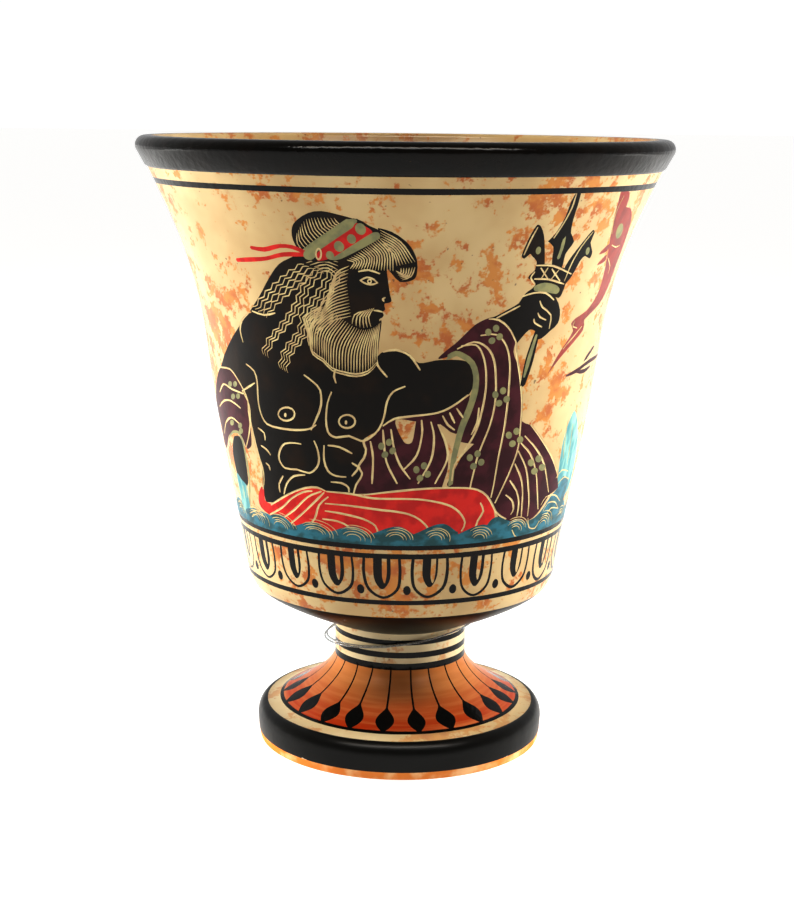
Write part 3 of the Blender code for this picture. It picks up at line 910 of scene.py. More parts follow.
cloth = dict(
    skirt=((261, 487), (258.5, 497), (261, 507), (270, 515), (282, 520), (305, 529), (320, 537), (340, 545),
        (400, 548), (460, 545), (484, 535), (494, 523), (494, 512), (492, 503), (486, 494), (477, 489.5),
        (464, 488), (441, 488), (418, 489), (395, 491.5), (364, 495), (364, 495), (345, 494), (327, 491),
        (318, 487), (305, 488), (292, 492), (271, 504), (271, 504), (265, 500), (264, 489)),
    skirtLines=( ((364, 495), (395, 491.5), (429, 488.6), (464, 488), (478, 490), (487, 496), (492.5, 505),
        (496, 512), (502, 517), (506, 519)), ((326.6, 491.5), (351, 494), (374, 498.4), (405, 499),
        (424, 500), (447, 504.7), (459, 512), (465, 522.5), (461.6, 531)), ((325, 503.5), (351, 506),
        (380, 510), (395, 511.6), (409, 514.4), (420, 520), (428, 529.4), (421.5, 537)), ((325, 511),
        (340, 513.3), (363, 519), (375.4, 526), (378, 534)), ((322.6, 519), (337.5, 521.3), (349, 527),
        (350, 534), (344.4, 538.5)), ((271, 504.7), (289, 494), (305, 488), (317, 487.5), (325, 491)),
        ((270, 514.4), (282, 507.6), (291.6, 498.4), (303, 492), (312, 491)), ((281.3, 519), (294, 510),
        (307.7, 497), (321, 491.5)), ((290, 524), (303, 513), (314.5, 502), (324, 492.6)), ((305.4, 528),
        (314.5, 519), (319, 505), (328, 497)), ((480.5, 503), (483.4, 511), (477.7, 521), (474, 533)), ),
    sleeve=((221.3, 367.3), (230, 369), (236.5, 377.7), (243, 389), (247.6, 400), (250, 417.6),
        (251, 433.5), (251.5, 445), (247.5, 449), (244.5, 443), (242, 436.7), (238, 432.7), (232.5, 432),
        (228.5, 436.7), (227, 448), (224.5, 441.5), (221.5, 425.5), (217.5, 408), (216, 392), (217.5, 376)),
    sleeveLines=( ((221.3, 367.3), (230, 369), (236.5, 377.7), (243, 389), (247.6, 400), (248.5, 412),
        (250, 424), (248.4, 437), (246, 447)), ((219.7, 392), (223.7, 384), (231.7, 389), (243, 393.6)),
        ((219.7, 406.4), (223.7, 400.8), (231, 400.8), (240.4, 408)), ((224.5, 433.5), (226, 422.3),
        (231.7, 417.6), (239.6, 424)), ),
    cloak=((439, 359), (445, 351.7), (456, 343), (466, 333.4), (475, 325), (485, 319.5), (495, 317),
        (504.5, 321.6), (511.5, 328.5), (516, 339), (513.5, 352), (518, 366), (520.6, 381), (522, 402),
        (521.5, 421), (531, 425), (540, 437), (551, 455), (557, 472), (558.5, 487), (550, 494), (539, 511),
        (529, 520), (509, 524), (502, 521.5), (495, 511.6), (489.7, 499), (478.5, 490.6), (470, 488),
        (452, 488), (447, 484), (453, 473), (461.6, 457), (474, 444), (474, 444), (459, 440), (466, 420),
        (472, 400), (476, 378), (471, 362), (461, 354)),
    drape=((383, 427), (372, 436), (365, 442), (366, 450), (359, 466), (362, 473), (357, 485), (354, 494),
        (354, 494), (400, 493), (441, 490), (441, 490), (444, 481), (448, 467), (447, 450), (442, 434),
        (440, 424), (456, 434), (466, 415), (470, 395), (470, 395), (453, 407), (437, 413), (410, 416.5),
        (394, 419)),
    gaps=(((395.5, 420.5), (416, 421.5), (416, 421.5), (412, 442), (404, 442)),),
    hem=((449, 357), (456, 353.5), (464, 356.5), (472, 363), (476, 375), (475, 391), (469, 410), (462, 427),
        (458, 441), (453.5, 460), (450.5, 484)),
    cloakLines=( ((457.4, 349), (474, 342), (487, 347.5), (494, 360), (496, 381), (495, 403.6),
        (489.7, 426), (478.5, 454), (474, 471), (470, 487.8)), ((461.6, 346), (475.7, 345), (482.7, 354.5),
        (486, 371), (485.5, 392), (481, 415), (475.7, 431.6), (466, 448.5), (454.6, 465), (451.8, 480.7)),
        ((481, 335.5), (496.7, 334.8), (506.5, 346), (510, 364), (509, 388), (507, 409), (503.7, 431.6),
        (498, 459.7), (494, 483.6), (491, 497.6)), ((495, 317), (504.5, 321.6), (511.5, 328.5), (516, 339),
        (516.5, 352), (518.5, 366), (520.6, 381), (522, 403.6), (520.6, 426), (518, 448.5), (510.7, 469.5),
        (502.3, 488), (495, 503)), ((479, 408), (477, 423), (471.5, 434.4)), ((525, 436), (536, 448.5),
        (544.4, 465), (548.6, 492)), ((521, 443), (530.4, 454), (536, 472), (537.4, 490.6), (538, 509)),
        ((518.5, 451), (526, 468), (528.3, 486), (529, 502), (527.6, 516)), ((515, 464), (521, 478),
        (522.7, 493), (521.3, 517)), ((510, 480.7), (516.4, 490.6), (519, 503), (517, 516)), ((505.8, 495),
        (512, 500.4), (513.5, 509), (510.7, 514.4)), ((531, 425), (540, 437), (551, 455), (557, 472),
        (558.5, 485)), ((370.4, 441.5), (373, 458), (372, 483.6)), ((383, 430), (384, 444), (386.6, 462.5),
        (397, 483.6)), ((391, 429.5), (394, 448.5), (400, 465), (410, 479)), ((421.6, 420.4), (422, 434),
        (416.7, 455.5), (404, 469.5)), ((431, 422), (434, 437), (431, 460), (418, 483.6)), ((438, 424.6),
        (446, 444), (447, 460), (435, 483.6)), ((442.7, 416), (447.6, 424.6), (454.6, 430)),
        ((449.7, 412.7), (454.6, 423)), ((456.7, 408.5), (463, 417.6)), ),
    clusters=((494, 334.5), (501, 397), (514.5, 437.5), (475.5, 460), (536.5, 465), (387, 448.5),
        (422, 472)),
    sleeveDots=((230, 384), (235, 384), (233, 396.5), (238, 396), (232, 422.5), (240, 425.5), (241, 431)),
    hemWidth=1.15, dotReach=(6.0, 6.6), dotSize=(3.2, 3.68), sleeveDotSize=(2.0, 3.0),
    armLine=((229, 438), (233, 432), (239.5, 433.5), (243.5, 445), (247, 462), (249.5, 481), (250, 508)),
)


def clothMarks():
    marks = [areaPx("maroon", cloth["drape"])] + areasPx("ground", cloth["gaps"])
    marks += areasPx("maroon", (cloth["cloak"], cloth["sleeve"]))
    marks.append(linePx(cloth["hem"], cloth["hemWidth"], "olive", 0.8))
    marks.append(areaPx("red", cloth["skirt"]))
    marks += linesPx(cloth["sleeveLines"] + cloth["cloakLines"] + cloth["skirtLines"])
    for centre in cloth["clusters"]:
        marks += dotCluster(centre)
    marks += [ovalPx("olive", dot, cloth["sleeveDotSize"]) for dot in cloth["sleeveDots"]]
    return marks


trident = dict(
    shaft=((537, 333), (531, 354), (523, 384)),
    middle=((577, 192), (581.5, 192), (581.5, 192), (577, 208), (573.5, 219), (571, 233), (574, 241.5),
        (565.5, 254), (561.5, 268), (552.5, 268), (552.5, 256), (553.5, 247), (548, 241.3), (548, 241.3),
        (556, 233), (565.4, 217), (571, 202)),
    left=((537.2, 225), (541.3, 227), (544, 235.5), (544.7, 249), (544, 268), (537.5, 268), (536.5, 261),
        (532, 256), (530, 254), (524.6, 258.5), (521.7, 256), (525, 247), (531, 234.4)),
    right=((593, 230), (594.6, 233), (590.6, 242.4), (592.3, 251.6), (589.5, 258.5), (585, 256), (580, 261),
        (571, 276), (564, 270), (572, 256), (582.6, 242.4)),
    collar=((537, 264), (554, 265), (568, 270), (572.5, 275), (565.4, 284), (564, 288.5), (558.5, 298),
        (547, 294), (534, 293), (525, 294), (535.5, 285), (528, 278), (535, 270)),
    olive=((535, 286), (545, 282.6), (556, 285), (559.6, 289.5), (556, 294), (546, 292), (535, 291)),
    lines=(((577, 193), (572, 208), (564, 223), (554, 238)), ((537.8, 227.5), (531, 240), (524, 255)),
        ((593, 232), (581.4, 247), (572, 263), (564.5, 281)), ((536.7, 265.5), (553.5, 266), (571.5, 274)),
        ((534.5, 279), (549, 279.5), (564, 284)), ((541, 268), (548, 279)), ((548, 268), (541, 279)),
        ((552, 269), (560, 281)), ((559, 270), (551, 279.5)), ((534.8, 272), (531, 278), (535, 284))),
    handLines=(((489, 319), (499, 320), (508, 327), (513, 335), (517, 344)), ((523, 296.4), (534, 293),
        (546, 293), (554, 300)), ((497, 318), (520, 306)), ((540, 301), (542.4, 307), (551, 315),
        (549.3, 328.5)), ((538, 313), (540, 317), (546, 320)), ((534, 319), (535, 323), (542, 327))),
    # each stroke's line, width in millimetres and taper
    oliveStrokes=((((536.5, 335), (530.5, 354), (524, 377)), 0.8, 0.6), (((564.3, 239), (562, 248),
        (558.5, 258)), 0.75, 0.9)),
    oliveDots=(((538.4, 250.5), (2.6, 4.0)), ((587.7, 251), (1.8, 4.0))),
    shaftWidth=1.7,
)


def tridentMarks():
    marks = [linePx(trident["shaft"], trident["shaftWidth"], "figureBlack", 0.7)]
    marks += areasPx("figureBlack", [trident[name] for name in ("left", "middle", "right", "collar")])
    marks.append(areaPx("figureBlack", godShape["hand"]))
    shaft, prong = [linePx(line, width, "olive", taper) for line, width, taper in trident["oliveStrokes"]]
    marks += [shaft, areaPx("olive", trident["olive"]), prong]
    marks += [ovalPx("olive", centre, radii, 15) for centre, radii in trident["oliveDots"]]
    marks += linesPx(trident["lines"] + trident["handLines"], incision["detailWidth"])
    return marks


bigFish = dict(
    body=((622, 190), (629, 191), (629, 199), (626, 207), (626, 207), (631, 209), (631, 221), (625, 241),
        (616, 265), (607.5, 288), (599, 304), (584, 320), (584, 320), (583, 330), (572, 344), (560, 358),
        (547, 375), (547, 375), (558, 355), (573, 331), (571, 324), (576, 318), (586, 311), (596, 297),
        (602, 281), (607, 258), (610, 240), (614, 218), (618, 203)),
    fins=(((609, 244), (599, 254), (607, 251)), ((606, 255), (597, 265), (605, 261))),
    lines=(((624, 196), (618, 208), (613.5, 222), (612, 234)), ((612, 245), (616, 247), (620, 245)),
        ((608, 258), (610, 266), (608, 274)), ((575, 321), (573, 326), (577, 328)), ((582, 326), (574, 336),
        (563, 349))),
    eye=((619.5, 231), (3.0, 8.0), 18),
)
smallFish = (
    ((566, 376), (576, 371), (588, 362), (600, 354)), ((584, 361), (590, 352), (594, 346)),
    ((576, 372), (584, 371), (590, 366)),
)


def fishMarks():
    marks = areasPx("fishRed", (bigFish["body"],) + bigFish["fins"])
    marks.append(ovalPx("olive", *bigFish["eye"]))
    marks += linesPx(bigFish["lines"], incision["fineWidth"])
    marks += linesPx(smallFish, 0.75, "maroon", 0.4)
    return marks


def placed(spots, angle, height, turn, size, flip):
    # Millimetres about a point on the wall, turned and then laid on it.
    spots = turned(np.asarray(spots, float) * (flip, 1) * size, turn)
    return spots / (float(wallRadius(height)), 1) + (math.radians(angle), height)


backFish = dict(
    body=((-11, 0.6), (-8, 2.6), (-2, 3.6), (4, 2.6), (9, 0.9), (9, 0.9), (13.5, 3.4), (13.5, 3.4),
        (12.2, 0), (13.5, -3.2), (13.5, -3.2), (9, -0.8), (4, -2.2), (-2, -2.8), (-8, -1.8)),
    gill=((-6.6, 2.2), (-5.6, 0.2), (-6.6, -1.6)), side=((-4.5, 0.4), (1, 0.7), (8, 0.2)),
    finTop=((-3, 3.2), (-1, 5.4), (3.5, 4.4), (2.5, 2.9)), eye=((-8.4, 0.9), (0.8, 0.8)),
    # the angle and height of each, its turn in degrees, size, 1 or -1 for its direction, and paint
    places=((118, 84, 18, 1.1, 1, "fishRed"), (152, 70, -12, 0.9, 1, "maroon"),
        (-158, 88, 10, 1.0, -1, "fishRed"), (-122, 72, -16, 1.1, -1, "maroon"),
        (-96, 92, 14, 0.8, -1, "fishRed")),
)


def backFishMarks():
    # The side that the photograph doesn't show: a few fish of the same hand.
    marks = []
    for *spot, paint in backFish["places"]:
        for name in ("finTop", "body"):
            marks.append(area(paint, placed(smoothLine(backFish[name], True, 1.0), *spot)))
        for name in ("gill", "side"):
            line = placed(smoothLine(backFish[name], False, 1.0), *spot)
            marks.append(stroke("incised", line, incision["detailWidth"]))
        marks.append(area("olive", placed(ovalSpots(*backFish["eye"], 11), *spot)))
    return marks


waves = dict(
    count=26, phase=4.0, trough=2.2, crest=3.9, peak=0.62, curls=(0.40, 0.58, 0.76, 0.94, 1.12),
    curlReach=2.5, curlWidth=0.17, curlRise=0.9, curlPlace=0.56,
    radius=33,        # of the wall where the waves are
    leftFlame=((237, 473), (238.5, 484), (241, 497), (244, 510), (249, 517), (255, 514), (250.5, 507),
        (248.5, 497), (247, 486), (242, 480)),
    leftSplash=((246, 509), (251, 508.5), (258, 510.5), (268, 514), (276, 522), (276, 531), (262, 526),
        (252, 521.5), (246, 516)),
    rightFlame=((575, 411), (578, 430), (575, 460), (568, 488), (561, 498), (558, 486), (559, 466),
        (563, 442), (569, 422)),
    rightSplash=((568, 480), (563, 500), (556, 520), (540, 533), (500, 543), (484, 534), (491, 520),
        (500, 517), (512, 522), (530, 520), (541, 511), (551, 496), (559, 486), (563, 476)),
    rightCurls=(((541, 505), (546, 497), (555, 495), (560, 501)), ((543, 511), (548, 503), (555, 502),
        (558, 508)), ((556, 478), (562, 470), (568, 471)), ((558, 484), (564, 477), (569, 479)),
        ((528, 518), (529, 527), (535, 528), (539, 521)), ((512, 530), (516, 537), (524, 536)), ((546, 515),
        (551, 508), (558, 508)), ((568, 420), (565, 440), (563, 458)), ((573, 424), (570, 446),
        (567, 464))),
    leftCurls=(((250, 513), (256, 510.5), (263, 514)), ((252, 516.5), (258, 513.5), (265, 517)),
        ((243, 486), (244, 492), (244, 498)), ((246, 486), (247, 492), (247, 498))),
)


def waveHeight(share):
    rise = np.where(share < waves["peak"], share / waves["peak"], (1 - share) / (1 - waves["peak"]))
    swell = np.sin(np.clip(rise, 0, 1) * math.pi / 2) ** 1.3
    return waves["trough"] + (waves["crest"] - waves["trough"]) * swell


def waveMarks():
    line, low = ringHeights["pictureLine"]
    middle = (line + low) / 2
    pitch = 2 * math.pi / waves["count"]
    starts = [math.radians(waves["phase"]) + k * pitch - math.pi for k in range(waves["count"])]
    draw = random.Random(7)
    marks = []
    for start in starts:
        tall = draw.uniform(0.85, 1.12)
        shares = np.linspace(0, 1, 15)
        top = np.stack([start + shares * pitch * 1.03, line + waveHeight(shares) * tall], 1)
        marks.append(area("teal", np.concatenate([top, [(top[-1, 0], middle), (top[0, 0], middle)]])))
    marks += areasPx("paleTeal", (waves["leftFlame"], waves["rightFlame"]))
    marks += areasPx("teal", (waves["leftSplash"], waves["rightSplash"]))
    for start in starts:
        wide, shift, sink = draw.uniform(0.85, 1.3), draw.uniform(-0.06, 0.10), draw.uniform(-0.3, 0.4)
        for i, reach in enumerate(waves["curls"][:draw.choice((4, 5, 5))]):
            size = waves["curlReach"] * reach * draw.uniform(0.94, 1.06)
            turns = np.radians(np.linspace(draw.uniform(130, 172) - 12 * i, draw.uniform(-14, 16), 9))
            across = size * 1.35 * wide * np.cos(turns) / waves["radius"]
            spots = np.stack([start + pitch * (waves["curlPlace"] + shift) + across,
                              line + waves["curlRise"] + sink + size * np.sin(turns)], 1)
            marks.append(stroke("incised", spots, waves["curlWidth"], 0.4))
    return marks + linesPx(waves["rightCurls"] + waves["leftCurls"], incision["fineWidth"])


eggBand = dict(
    count=22, first=-6.2, outerHalf=3.25, outerWidth=0.52, outerLow=35.9, outerShoulder=39.6,
    innerHalf=1.55, innerLow=38.0, slitHalf=0.42, slitShift=0.45, slitLow=38.9, dotHeight=37.5,
    dotSize=(0.70, 0.92),
)


def signedAngle(degrees):
    return math.radians((degrees + 180) % 360 - 180)


def layOnWall(angle, spots):
    return np.array([(angle + x / float(wallRadius(v)), v) for x, v in spots])


def eggMarks():
    # The ring of eggs and dots under the picture, each drawn by hand and so a little different.
    e = eggBand
    top = sum(ringHeights["eggTop"]) / 2
    pitch = 360 / e["count"]
    draw = random.Random(11)
    marks = []
    for k in range(e["count"]):
        angle = signedAngle(e["first"] + k * pitch + draw.uniform(-0.5, 0.5))
        half, sway = e["outerHalf"] * draw.uniform(0.95, 1.05), draw.uniform(-0.25, 0.25)
        shoulder, low = e["outerShoulder"], e["outerLow"] + draw.uniform(-0.1, 0.35)
        outline = [(-half, top), (-half * 1.02, shoulder + 1), (-half * 0.78 + sway / 2, low + 1.6),
                   (sway, low), (half * 0.80 + sway / 2, low + 1.6), (half, shoulder + 1), (half * 0.97, top)]
        width = e["outerWidth"] * draw.uniform(0.85, 1.2)
        marks.append(stroke("blackGlaze", layOnWall(angle, smoothLine(outline, False, 0.8)), width, 0.9, k))
        inner, innerLow = e["innerHalf"] * draw.uniform(0.9, 1.1), e["innerLow"] + draw.uniform(-0.2, 0.3)
        core = [(-inner, top), (-inner, top), (-inner * 0.95, innerLow + 2), (-inner * 0.3, innerLow),
                (inner * 0.3, innerLow), (inner * 0.95, innerLow + 2), (inner, top), (inner, top)]
        shift, slit = e["slitShift"] + draw.uniform(-0.12, 0.12), e["slitHalf"] * draw.uniform(0.75, 1.2)
        left, right, slitLow = shift - slit, shift + slit, e["slitLow"]
        cream = [(left, top), (left, top), (left, slitLow + 1.2), (shift - 0.1, slitLow),
                 (shift + 0.12, slitLow + 0.1), (right, slitLow + 2), (right, top), (right, top)]
        for paint, edge in (("blackGlaze", core), ("ground", cream)):
            marks.append(area(paint, layOnWall(angle, smoothLine(edge, True, 0.8))))
        spot = draw.uniform(-0.2, 0.2) + math.radians(pitch / 2) * float(wallRadius(e["dotHeight"]))
        dot = ovalSpots((spot, e["dotHeight"]), e["dotSize"], 12)
        marks.append(area("blackGlaze", layOnWall(angle, dot)))
    return marks


def wallRing(paint, top, low, seed):
    return ringArea(wallSheet, paint, low, top, seed=seed)


def wallMarks():
    marks = areasPx("figureBlack", [godShape[name] for name in ("hairMass", "body", "forearm")])
    marks += clothMarks() + bodyMarks()
    marks += [areaPx("figureBlack", beard["shape"])] + headMarks() + hairMarks() + filletMarks()
    marks += tridentMarks() + fishMarks() + backFishMarks()
    marks.append(linePx(cloth["armLine"], 0.6, "olive"))
    marks += waveMarks()
    top, low = ringHeights["pictureLine"]
    marks.append(wallRing("blackGlaze", top, low, 1))
    marks.append(wallRing("ground", low, ringHeights["eggTop"][0], 4))
    marks += eggMarks()
    for name, seed in (("eggTop", 2), ("eggLine", 3), ("rimStripe", 5)):
        marks.append(wallRing("blackGlaze", *ringHeights[name], seed))
    return marks


# Distances are millimetres down the slope, widths millimetres.
tongues = dict(
    count=22, first=-7.1, dropStart=8.0, dropHalf=1.62,
    lineTop=0.30, lineLow=0.46,      # the line's width at the stem and at the drop
    lineEnd=0.75,                    # the height of the ring that closes the slope
)


def footMarks():
    # Thin lines down the foot's slope, each ending in a drop on the line that closes the slope.
    t = tongues
    end = slopeLength()
    draw = random.Random(3)
    marks = []
    for k in range(t["count"]):
        angle = signedAngle(t["first"] + 360 * k / t["count"] + draw.uniform(-0.8, 0.8))
        bow, wide = draw.uniform(-0.3, 0.3), draw.uniform(0.92, 1.06)
        start = t["dropStart"] + draw.uniform(-0.2, 0.3)
        tip = end - t["lineEnd"]
        places = np.concatenate([np.linspace(0, start, 10)[:-1], np.linspace(start, tip + 0.2, 16)])
        radius = footSheet["surface"](-places)[0]
        share = np.clip((places - start) / (tip + 0.3 - start), 0, 1)
        half = (t["lineTop"] + (t["lineLow"] - t["lineTop"]) * places / end) / 2
        half += t["dropHalf"] * wide * np.sin(share ** 1.1 * math.pi) ** 1.1
        centre = angle + bow * np.sin(places / end * math.pi) / radius
        sides = [np.stack([centre + sign * half / radius, -places], 1) for sign in (-1, 1)]
        marks.append(area("blackGlaze", np.concatenate([sides[0], sides[1][::-1]])))
    marks.append(ringArea(footSheet, "blackGlaze", -end, -end + t["lineEnd"], seed=6))
    return marks


# Finishes. Colours are sRGB hex and pattern sizes are millimetres on the cup.
finish = dict(
    cream="#B89D70", paleCream="#C6AF83", sponge="#BE7A2A", deepSponge="#A8520E", speck="#4A3A2A",
    glaze="#111110", figure="#151210", brownFigure="#24180F",
    teal="#2B6C7C", deepTeal="#1B4A50", paleTeal="#3C8288", paleWave="#86B4A8",
    red="#AE0D08", brightRed="#C81E12", fish="#8A281A", deepFish="#742014",
    maroon="#38181E", warmMaroon="#4C2029", olive="#757550", paleOlive="#8A8758", incised="#D6C593",
    washTop="#B47440", washBottom="#A63206", washPale="#C68650", footCream="#CCBC98",
    bare="#E68C38", barePale="#F2C08A", underside="#170E08", underClay="#C88D5E", chip="#D9C7A8",
    spongeSize=4.4, clusterSize=22.0, poreSize=0.8, creamSize=15.0, speckSize=0.7, chipSize=2.6,
    streakSize=0.9,
    washHeights=(13.5, 7.6),      # where the foot's wash is palest and deepest
)


def asInput(colour):
    return linearColour(colour) if isinstance(colour, str) else colour


def mixed(tree, share, first, second):
    inputs = {"Factor_Float": share, "A_Color": asInput(first), "B_Color": asInput(second)}
    return addNode(tree, "ShaderNodeMix", inputs, data_type="RGBA"), "Result_Color"


def patches(tree, place, size, low, high, detail=3.0):
    # A mask of soft patches; low and high are the noise values at their edges.
    return addRange(tree, addNoise(tree, place, size, detail), low, high, smooth=True)


def mottled(size, first, second, low=0.38, high=0.62, detail=3.0, stretch=(1, 1, 1)):
    def colour(tree, place):
        moved = addVectorMath(tree, "MULTIPLY", place, stretch)
        return mixed(tree, patches(tree, moved, size, low, high, detail), finish[first], finish[second])
    return colour


def spongedSlip(amount=1.0, cream="cream", pale="paleCream"):
    # Cream slip dabbed with an orange sponge: soft clusters, broken up by the sponge's pores.
    def colour(tree, place):
        base = mixed(tree, patches(tree, place, finish["creamSize"], 0.35, 0.65), finish[cream], finish[pale])
        total = -2.6
        layers = (("clusterSize", 1.3, 1.0), ("spongeSize", 3.0, 8.0), ("poreSize", 0.6, 1.0))
        for size, weight, detail in layers:
            noise = addNoise(tree, place, finish[size], detail, Roughness=0.62)
            total = addMath(tree, "MULTIPLY_ADD", noise, weight, total)
        dab = addRange(tree, total, -0.10, 0.13, 0.85 * amount, smooth=True)
        tone = patches(tree, place, finish["spongeSize"] * 0.7, 0.40, 0.66, 4.0)
        orange = mixed(tree, tone, finish["sponge"], finish["deepSponge"])
        slip = mixed(tree, dab, base, orange)
        speck = addRange(tree, addNoise(tree, place, finish["speckSize"], 0.0), 0.83, 0.88, 0.6)
        return mixed(tree, speck, slip, finish["speck"])
    return colour


def brushedWash(tree, place):
    # The foot's wash: paler at the stem, with the rings that a brush leaves on a turning wheel.
    flat = addVectorMath(tree, "MULTIPLY", place, (1, 1, 0))
    reach = addVectorMath(tree, "LENGTH", flat)
    parts = addNode(tree, "ShaderNodeSeparateXYZ", {0: addVectorMath(tree, "NORMALIZE", flat)})
    streakPlace = addNode(tree, "ShaderNodeCombineXYZ", {0: parts, 1: (parts, 1), 2: (reach, "Value")})
    streak = addNoise(tree, streakPlace, finish["streakSize"], 2.0)
    heights = addNode(tree, "ShaderNodeSeparateXYZ", {0: place})
    fall = addRange(tree, (heights, 2), *finish["washHeights"])
    colour = mixed(tree, fall, finish["washTop"], finish["washBottom"])
    return mixed(tree, addRange(tree, streak, 0.45, 0.72, 0.55), colour, finish["washPale"])


def chippedGlaze(tree, place):
    # The foot ring's black, worn through along its lower edge.
    heights = addNode(tree, "ShaderNodeSeparateXYZ", {0: place})
    noise = addNoise(tree, place, finish["chipSize"], 4.0)
    edge = addMath(tree, "MULTIPLY_ADD", noise, -3.4, (heights, 2))
    return mixed(tree, addRange(tree, edge, -0.72, -0.85), finish["glaze"], finish["chip"])


def paintMaterial(name, colour, roughness, ripple=(6.0, 0.02), shine=0.5):
    # ripple is the width and height of the surface's unevenness in millimetres.
    material = bpy.data.materials.new(name)
    material.use_nodes = True
    tree = material.node_tree
    tree.nodes.clear()
    coords = addNode(tree, "ShaderNodeTexCoord")
    place = addNode(tree, "ShaderNodeVectorMath", {0: (coords, "Object"), "Scale": 1 / mm}, operation="SCALE")
    unevenness = addNoise(tree, place, ripple[0], 2.0)
    inputs = {"Height": unevenness, "Distance": ripple[1] * mm, "Strength": 1.0}
    bump = addNode(tree, "ShaderNodeBump", inputs)
    inputs = {"Base Color": colour(tree, place), "Roughness": roughness, "Normal": bump,
              "Specular IOR Level": shine}
    shader = addNode(tree, "ShaderNodeBsdfPrincipled", inputs)
    addNode(tree, "ShaderNodeOutputMaterial", {"Surface": shader})
    return material


# Each paint's material, its colouring, roughness, ripple and shine.
paintTable = dict(
    # slip sponged and fired under a clear glaze
    ground=("earthenware, sponged cream slip, glazed", spongedSlip(), 0.24, (6.0, 0.02), 0.35),
    inside=("earthenware, cream slip, glazed inside", spongedSlip(0.8), 0.25),
    footRing=("earthenware, brushed cream slip", spongedSlip(0.6, "footCream", "paleCream"), 0.3,
              (6.0, 0.02), 0.3),
    # thick black glaze, brushed on while the cup turned
    blackGlaze=("black glaze, brushed", mottled(6.0, "glaze", "figure"), 0.15, (1.5, 0.09), 0.2),
    torusGlaze=("black glaze, worn at the foot", chippedGlaze, 0.32, (5.0, 0.12), 0.25),
    underside=("brown-black glaze wash", mottled(5.0, "underside", "glaze"), 0.32, (6.0, 0.02), 0.12),
    tongueWash=("iron-red wash, brushed", brushedWash, 0.32, (2.0, 0.01), 0.25),
    # colours painted on the glaze and fired again
    figureBlack=("black figure paint", mottled(7.0, "figure", "brownFigure", 0.45, 0.7), 0.36,
                 (1.6, 0.02), 0.15),
    teal=("teal paint, brushed", mottled(2.4, "teal", "deepTeal", 0.38, 0.62, 4.0, (1, 1, 1.6)), 0.32,
          (1.4, 0.02), 0.3),
    paleTeal=("thinned teal paint", mottled(1.3, "paleTeal", "paleWave", 0.35, 0.65, 3.0, (1, 1, 0.25)), 0.32,
              (1.4, 0.02), 0.3),
    red=("red paint, brushed", mottled(3.0, "red", "brightRed"), 0.35, (1.2, 0.02), 0.3),
    fishRed=("thin red paint", mottled(3.0, "fish", "deepFish"), 0.35, (1.2, 0.02)),
    maroon=("maroon paint, brushed", mottled(3.5, "maroon", "warmMaroon"), 0.35, (1.4, 0.02), 0.15),
    olive=("grey-olive paint", mottled(2.0, "olive", "paleOlive"), 0.4, (1.0, 0.02)),
    # scratched through the paint to the slip
    incised=("incised line, bare slip", mottled(2.0, "incised", "paleCream"), 0.6, (0.5, 0.01)),
    # unglazed fired clay
    bareClay=("bare orange clay", mottled(4.0, "bare", "barePale", 0.45, 0.7), 0.7, (0.8, 0.02)),
    underClay=("bare clay under the foot", mottled(6.0, "underClay", "bare", 0.45, 0.9), 0.85, (0.8, 0.03)),
)


def makeMaterials():
    return {name: paintMaterial(*settings) for name, settings in paintTable.items()}


# How near two edge points are to be sewn into one, in millimetres, and the angle that shades as an edge.
seamWidth = 0.003
sharpAngle = 30
# The bake map: where up it each part starts and how high it is.
bakeMap = dict(rest=(0.005, 0.31), foot=(0.33, 0.06), wall=(0.40, 0.595), footHeights=(7.5, 16.5))


def joinParts(turned, sheets):
    # One mesh of the turned body and the wrapped sheets, sewn together along their edges.
    slots = {name: i for i, name in enumerate(paintNames)}
    places = [tuple(v.co) for v in turned.vertices]
    faces = [tuple(p.vertices) for p in turned.polygons]
    paints = [slots[turned.materials[p.material_index].name] for p in turned.polygons]
    kinds, grooves = [0] * len(faces), [False] * len(faces)
    stations = list(readMesh(turned.attributes["station"].data, "value", len(places)))
    for kind, sheet in enumerate(sheets, 1):
        first = len(places)
        places += sheet["places"].tolist()
        stations += [0.0] * len(sheet["places"])
        faces += (sheet["faces"] + first).tolist()
        paints += sheet["paints"].tolist()
        kinds += [kind] * len(sheet["faces"])
        grooves += sheet["grooved"].tolist()
    mesh = bpy.data.meshes.new("pythagorean cup")
    mesh.from_pydata(places, [], faces)
    mesh.polygons.foreach_set("material_index", paints)
    for name, kind, domain, values in (("kind", "INT", "FACE", kinds), ("groove", "BOOLEAN", "FACE", grooves),
                                       ("station", "FLOAT", "POINT", stations)):
        mesh.attributes.new(name, kind, domain).data.foreach_set("value", values)
    shape = bmesh.new()
    shape.from_mesh(mesh)
    edge = [v for v in shape.verts if v.is_boundary]
    bmesh.ops.remove_doubles(shape, verts=edge, dist=seamWidth * mm)
    bmesh.ops.recalc_face_normals(shape, faces=shape.faces[:])
    loose = sum(1 for e in shape.edges if not e.is_manifold)
    print("cup:", len(shape.faces), "faces,", loose, "open edges, volume",
          round(shape.calc_volume() / mm**3), "mm3")
    shape.to_mesh(mesh)
    shape.free()
    return mesh


def readMesh(items, name, size, kind=float):
    values = np.zeros(size, kind)
    items.foreach_get(name, values)
    return values


def cupArrays(mesh):
    # The vertex and the face of each face corner, and the vertices' places in millimetres.
    corner = readMesh(mesh.loops, "vertex_index", len(mesh.loops), int)
    counts = readMesh(mesh.polygons, "loop_total", len(mesh.polygons), int)
    places = readMesh(mesh.vertices, "co", len(mesh.vertices) * 3)
    return corner, np.repeat(np.arange(len(counts)), counts), places.reshape(-1, 3) / mm


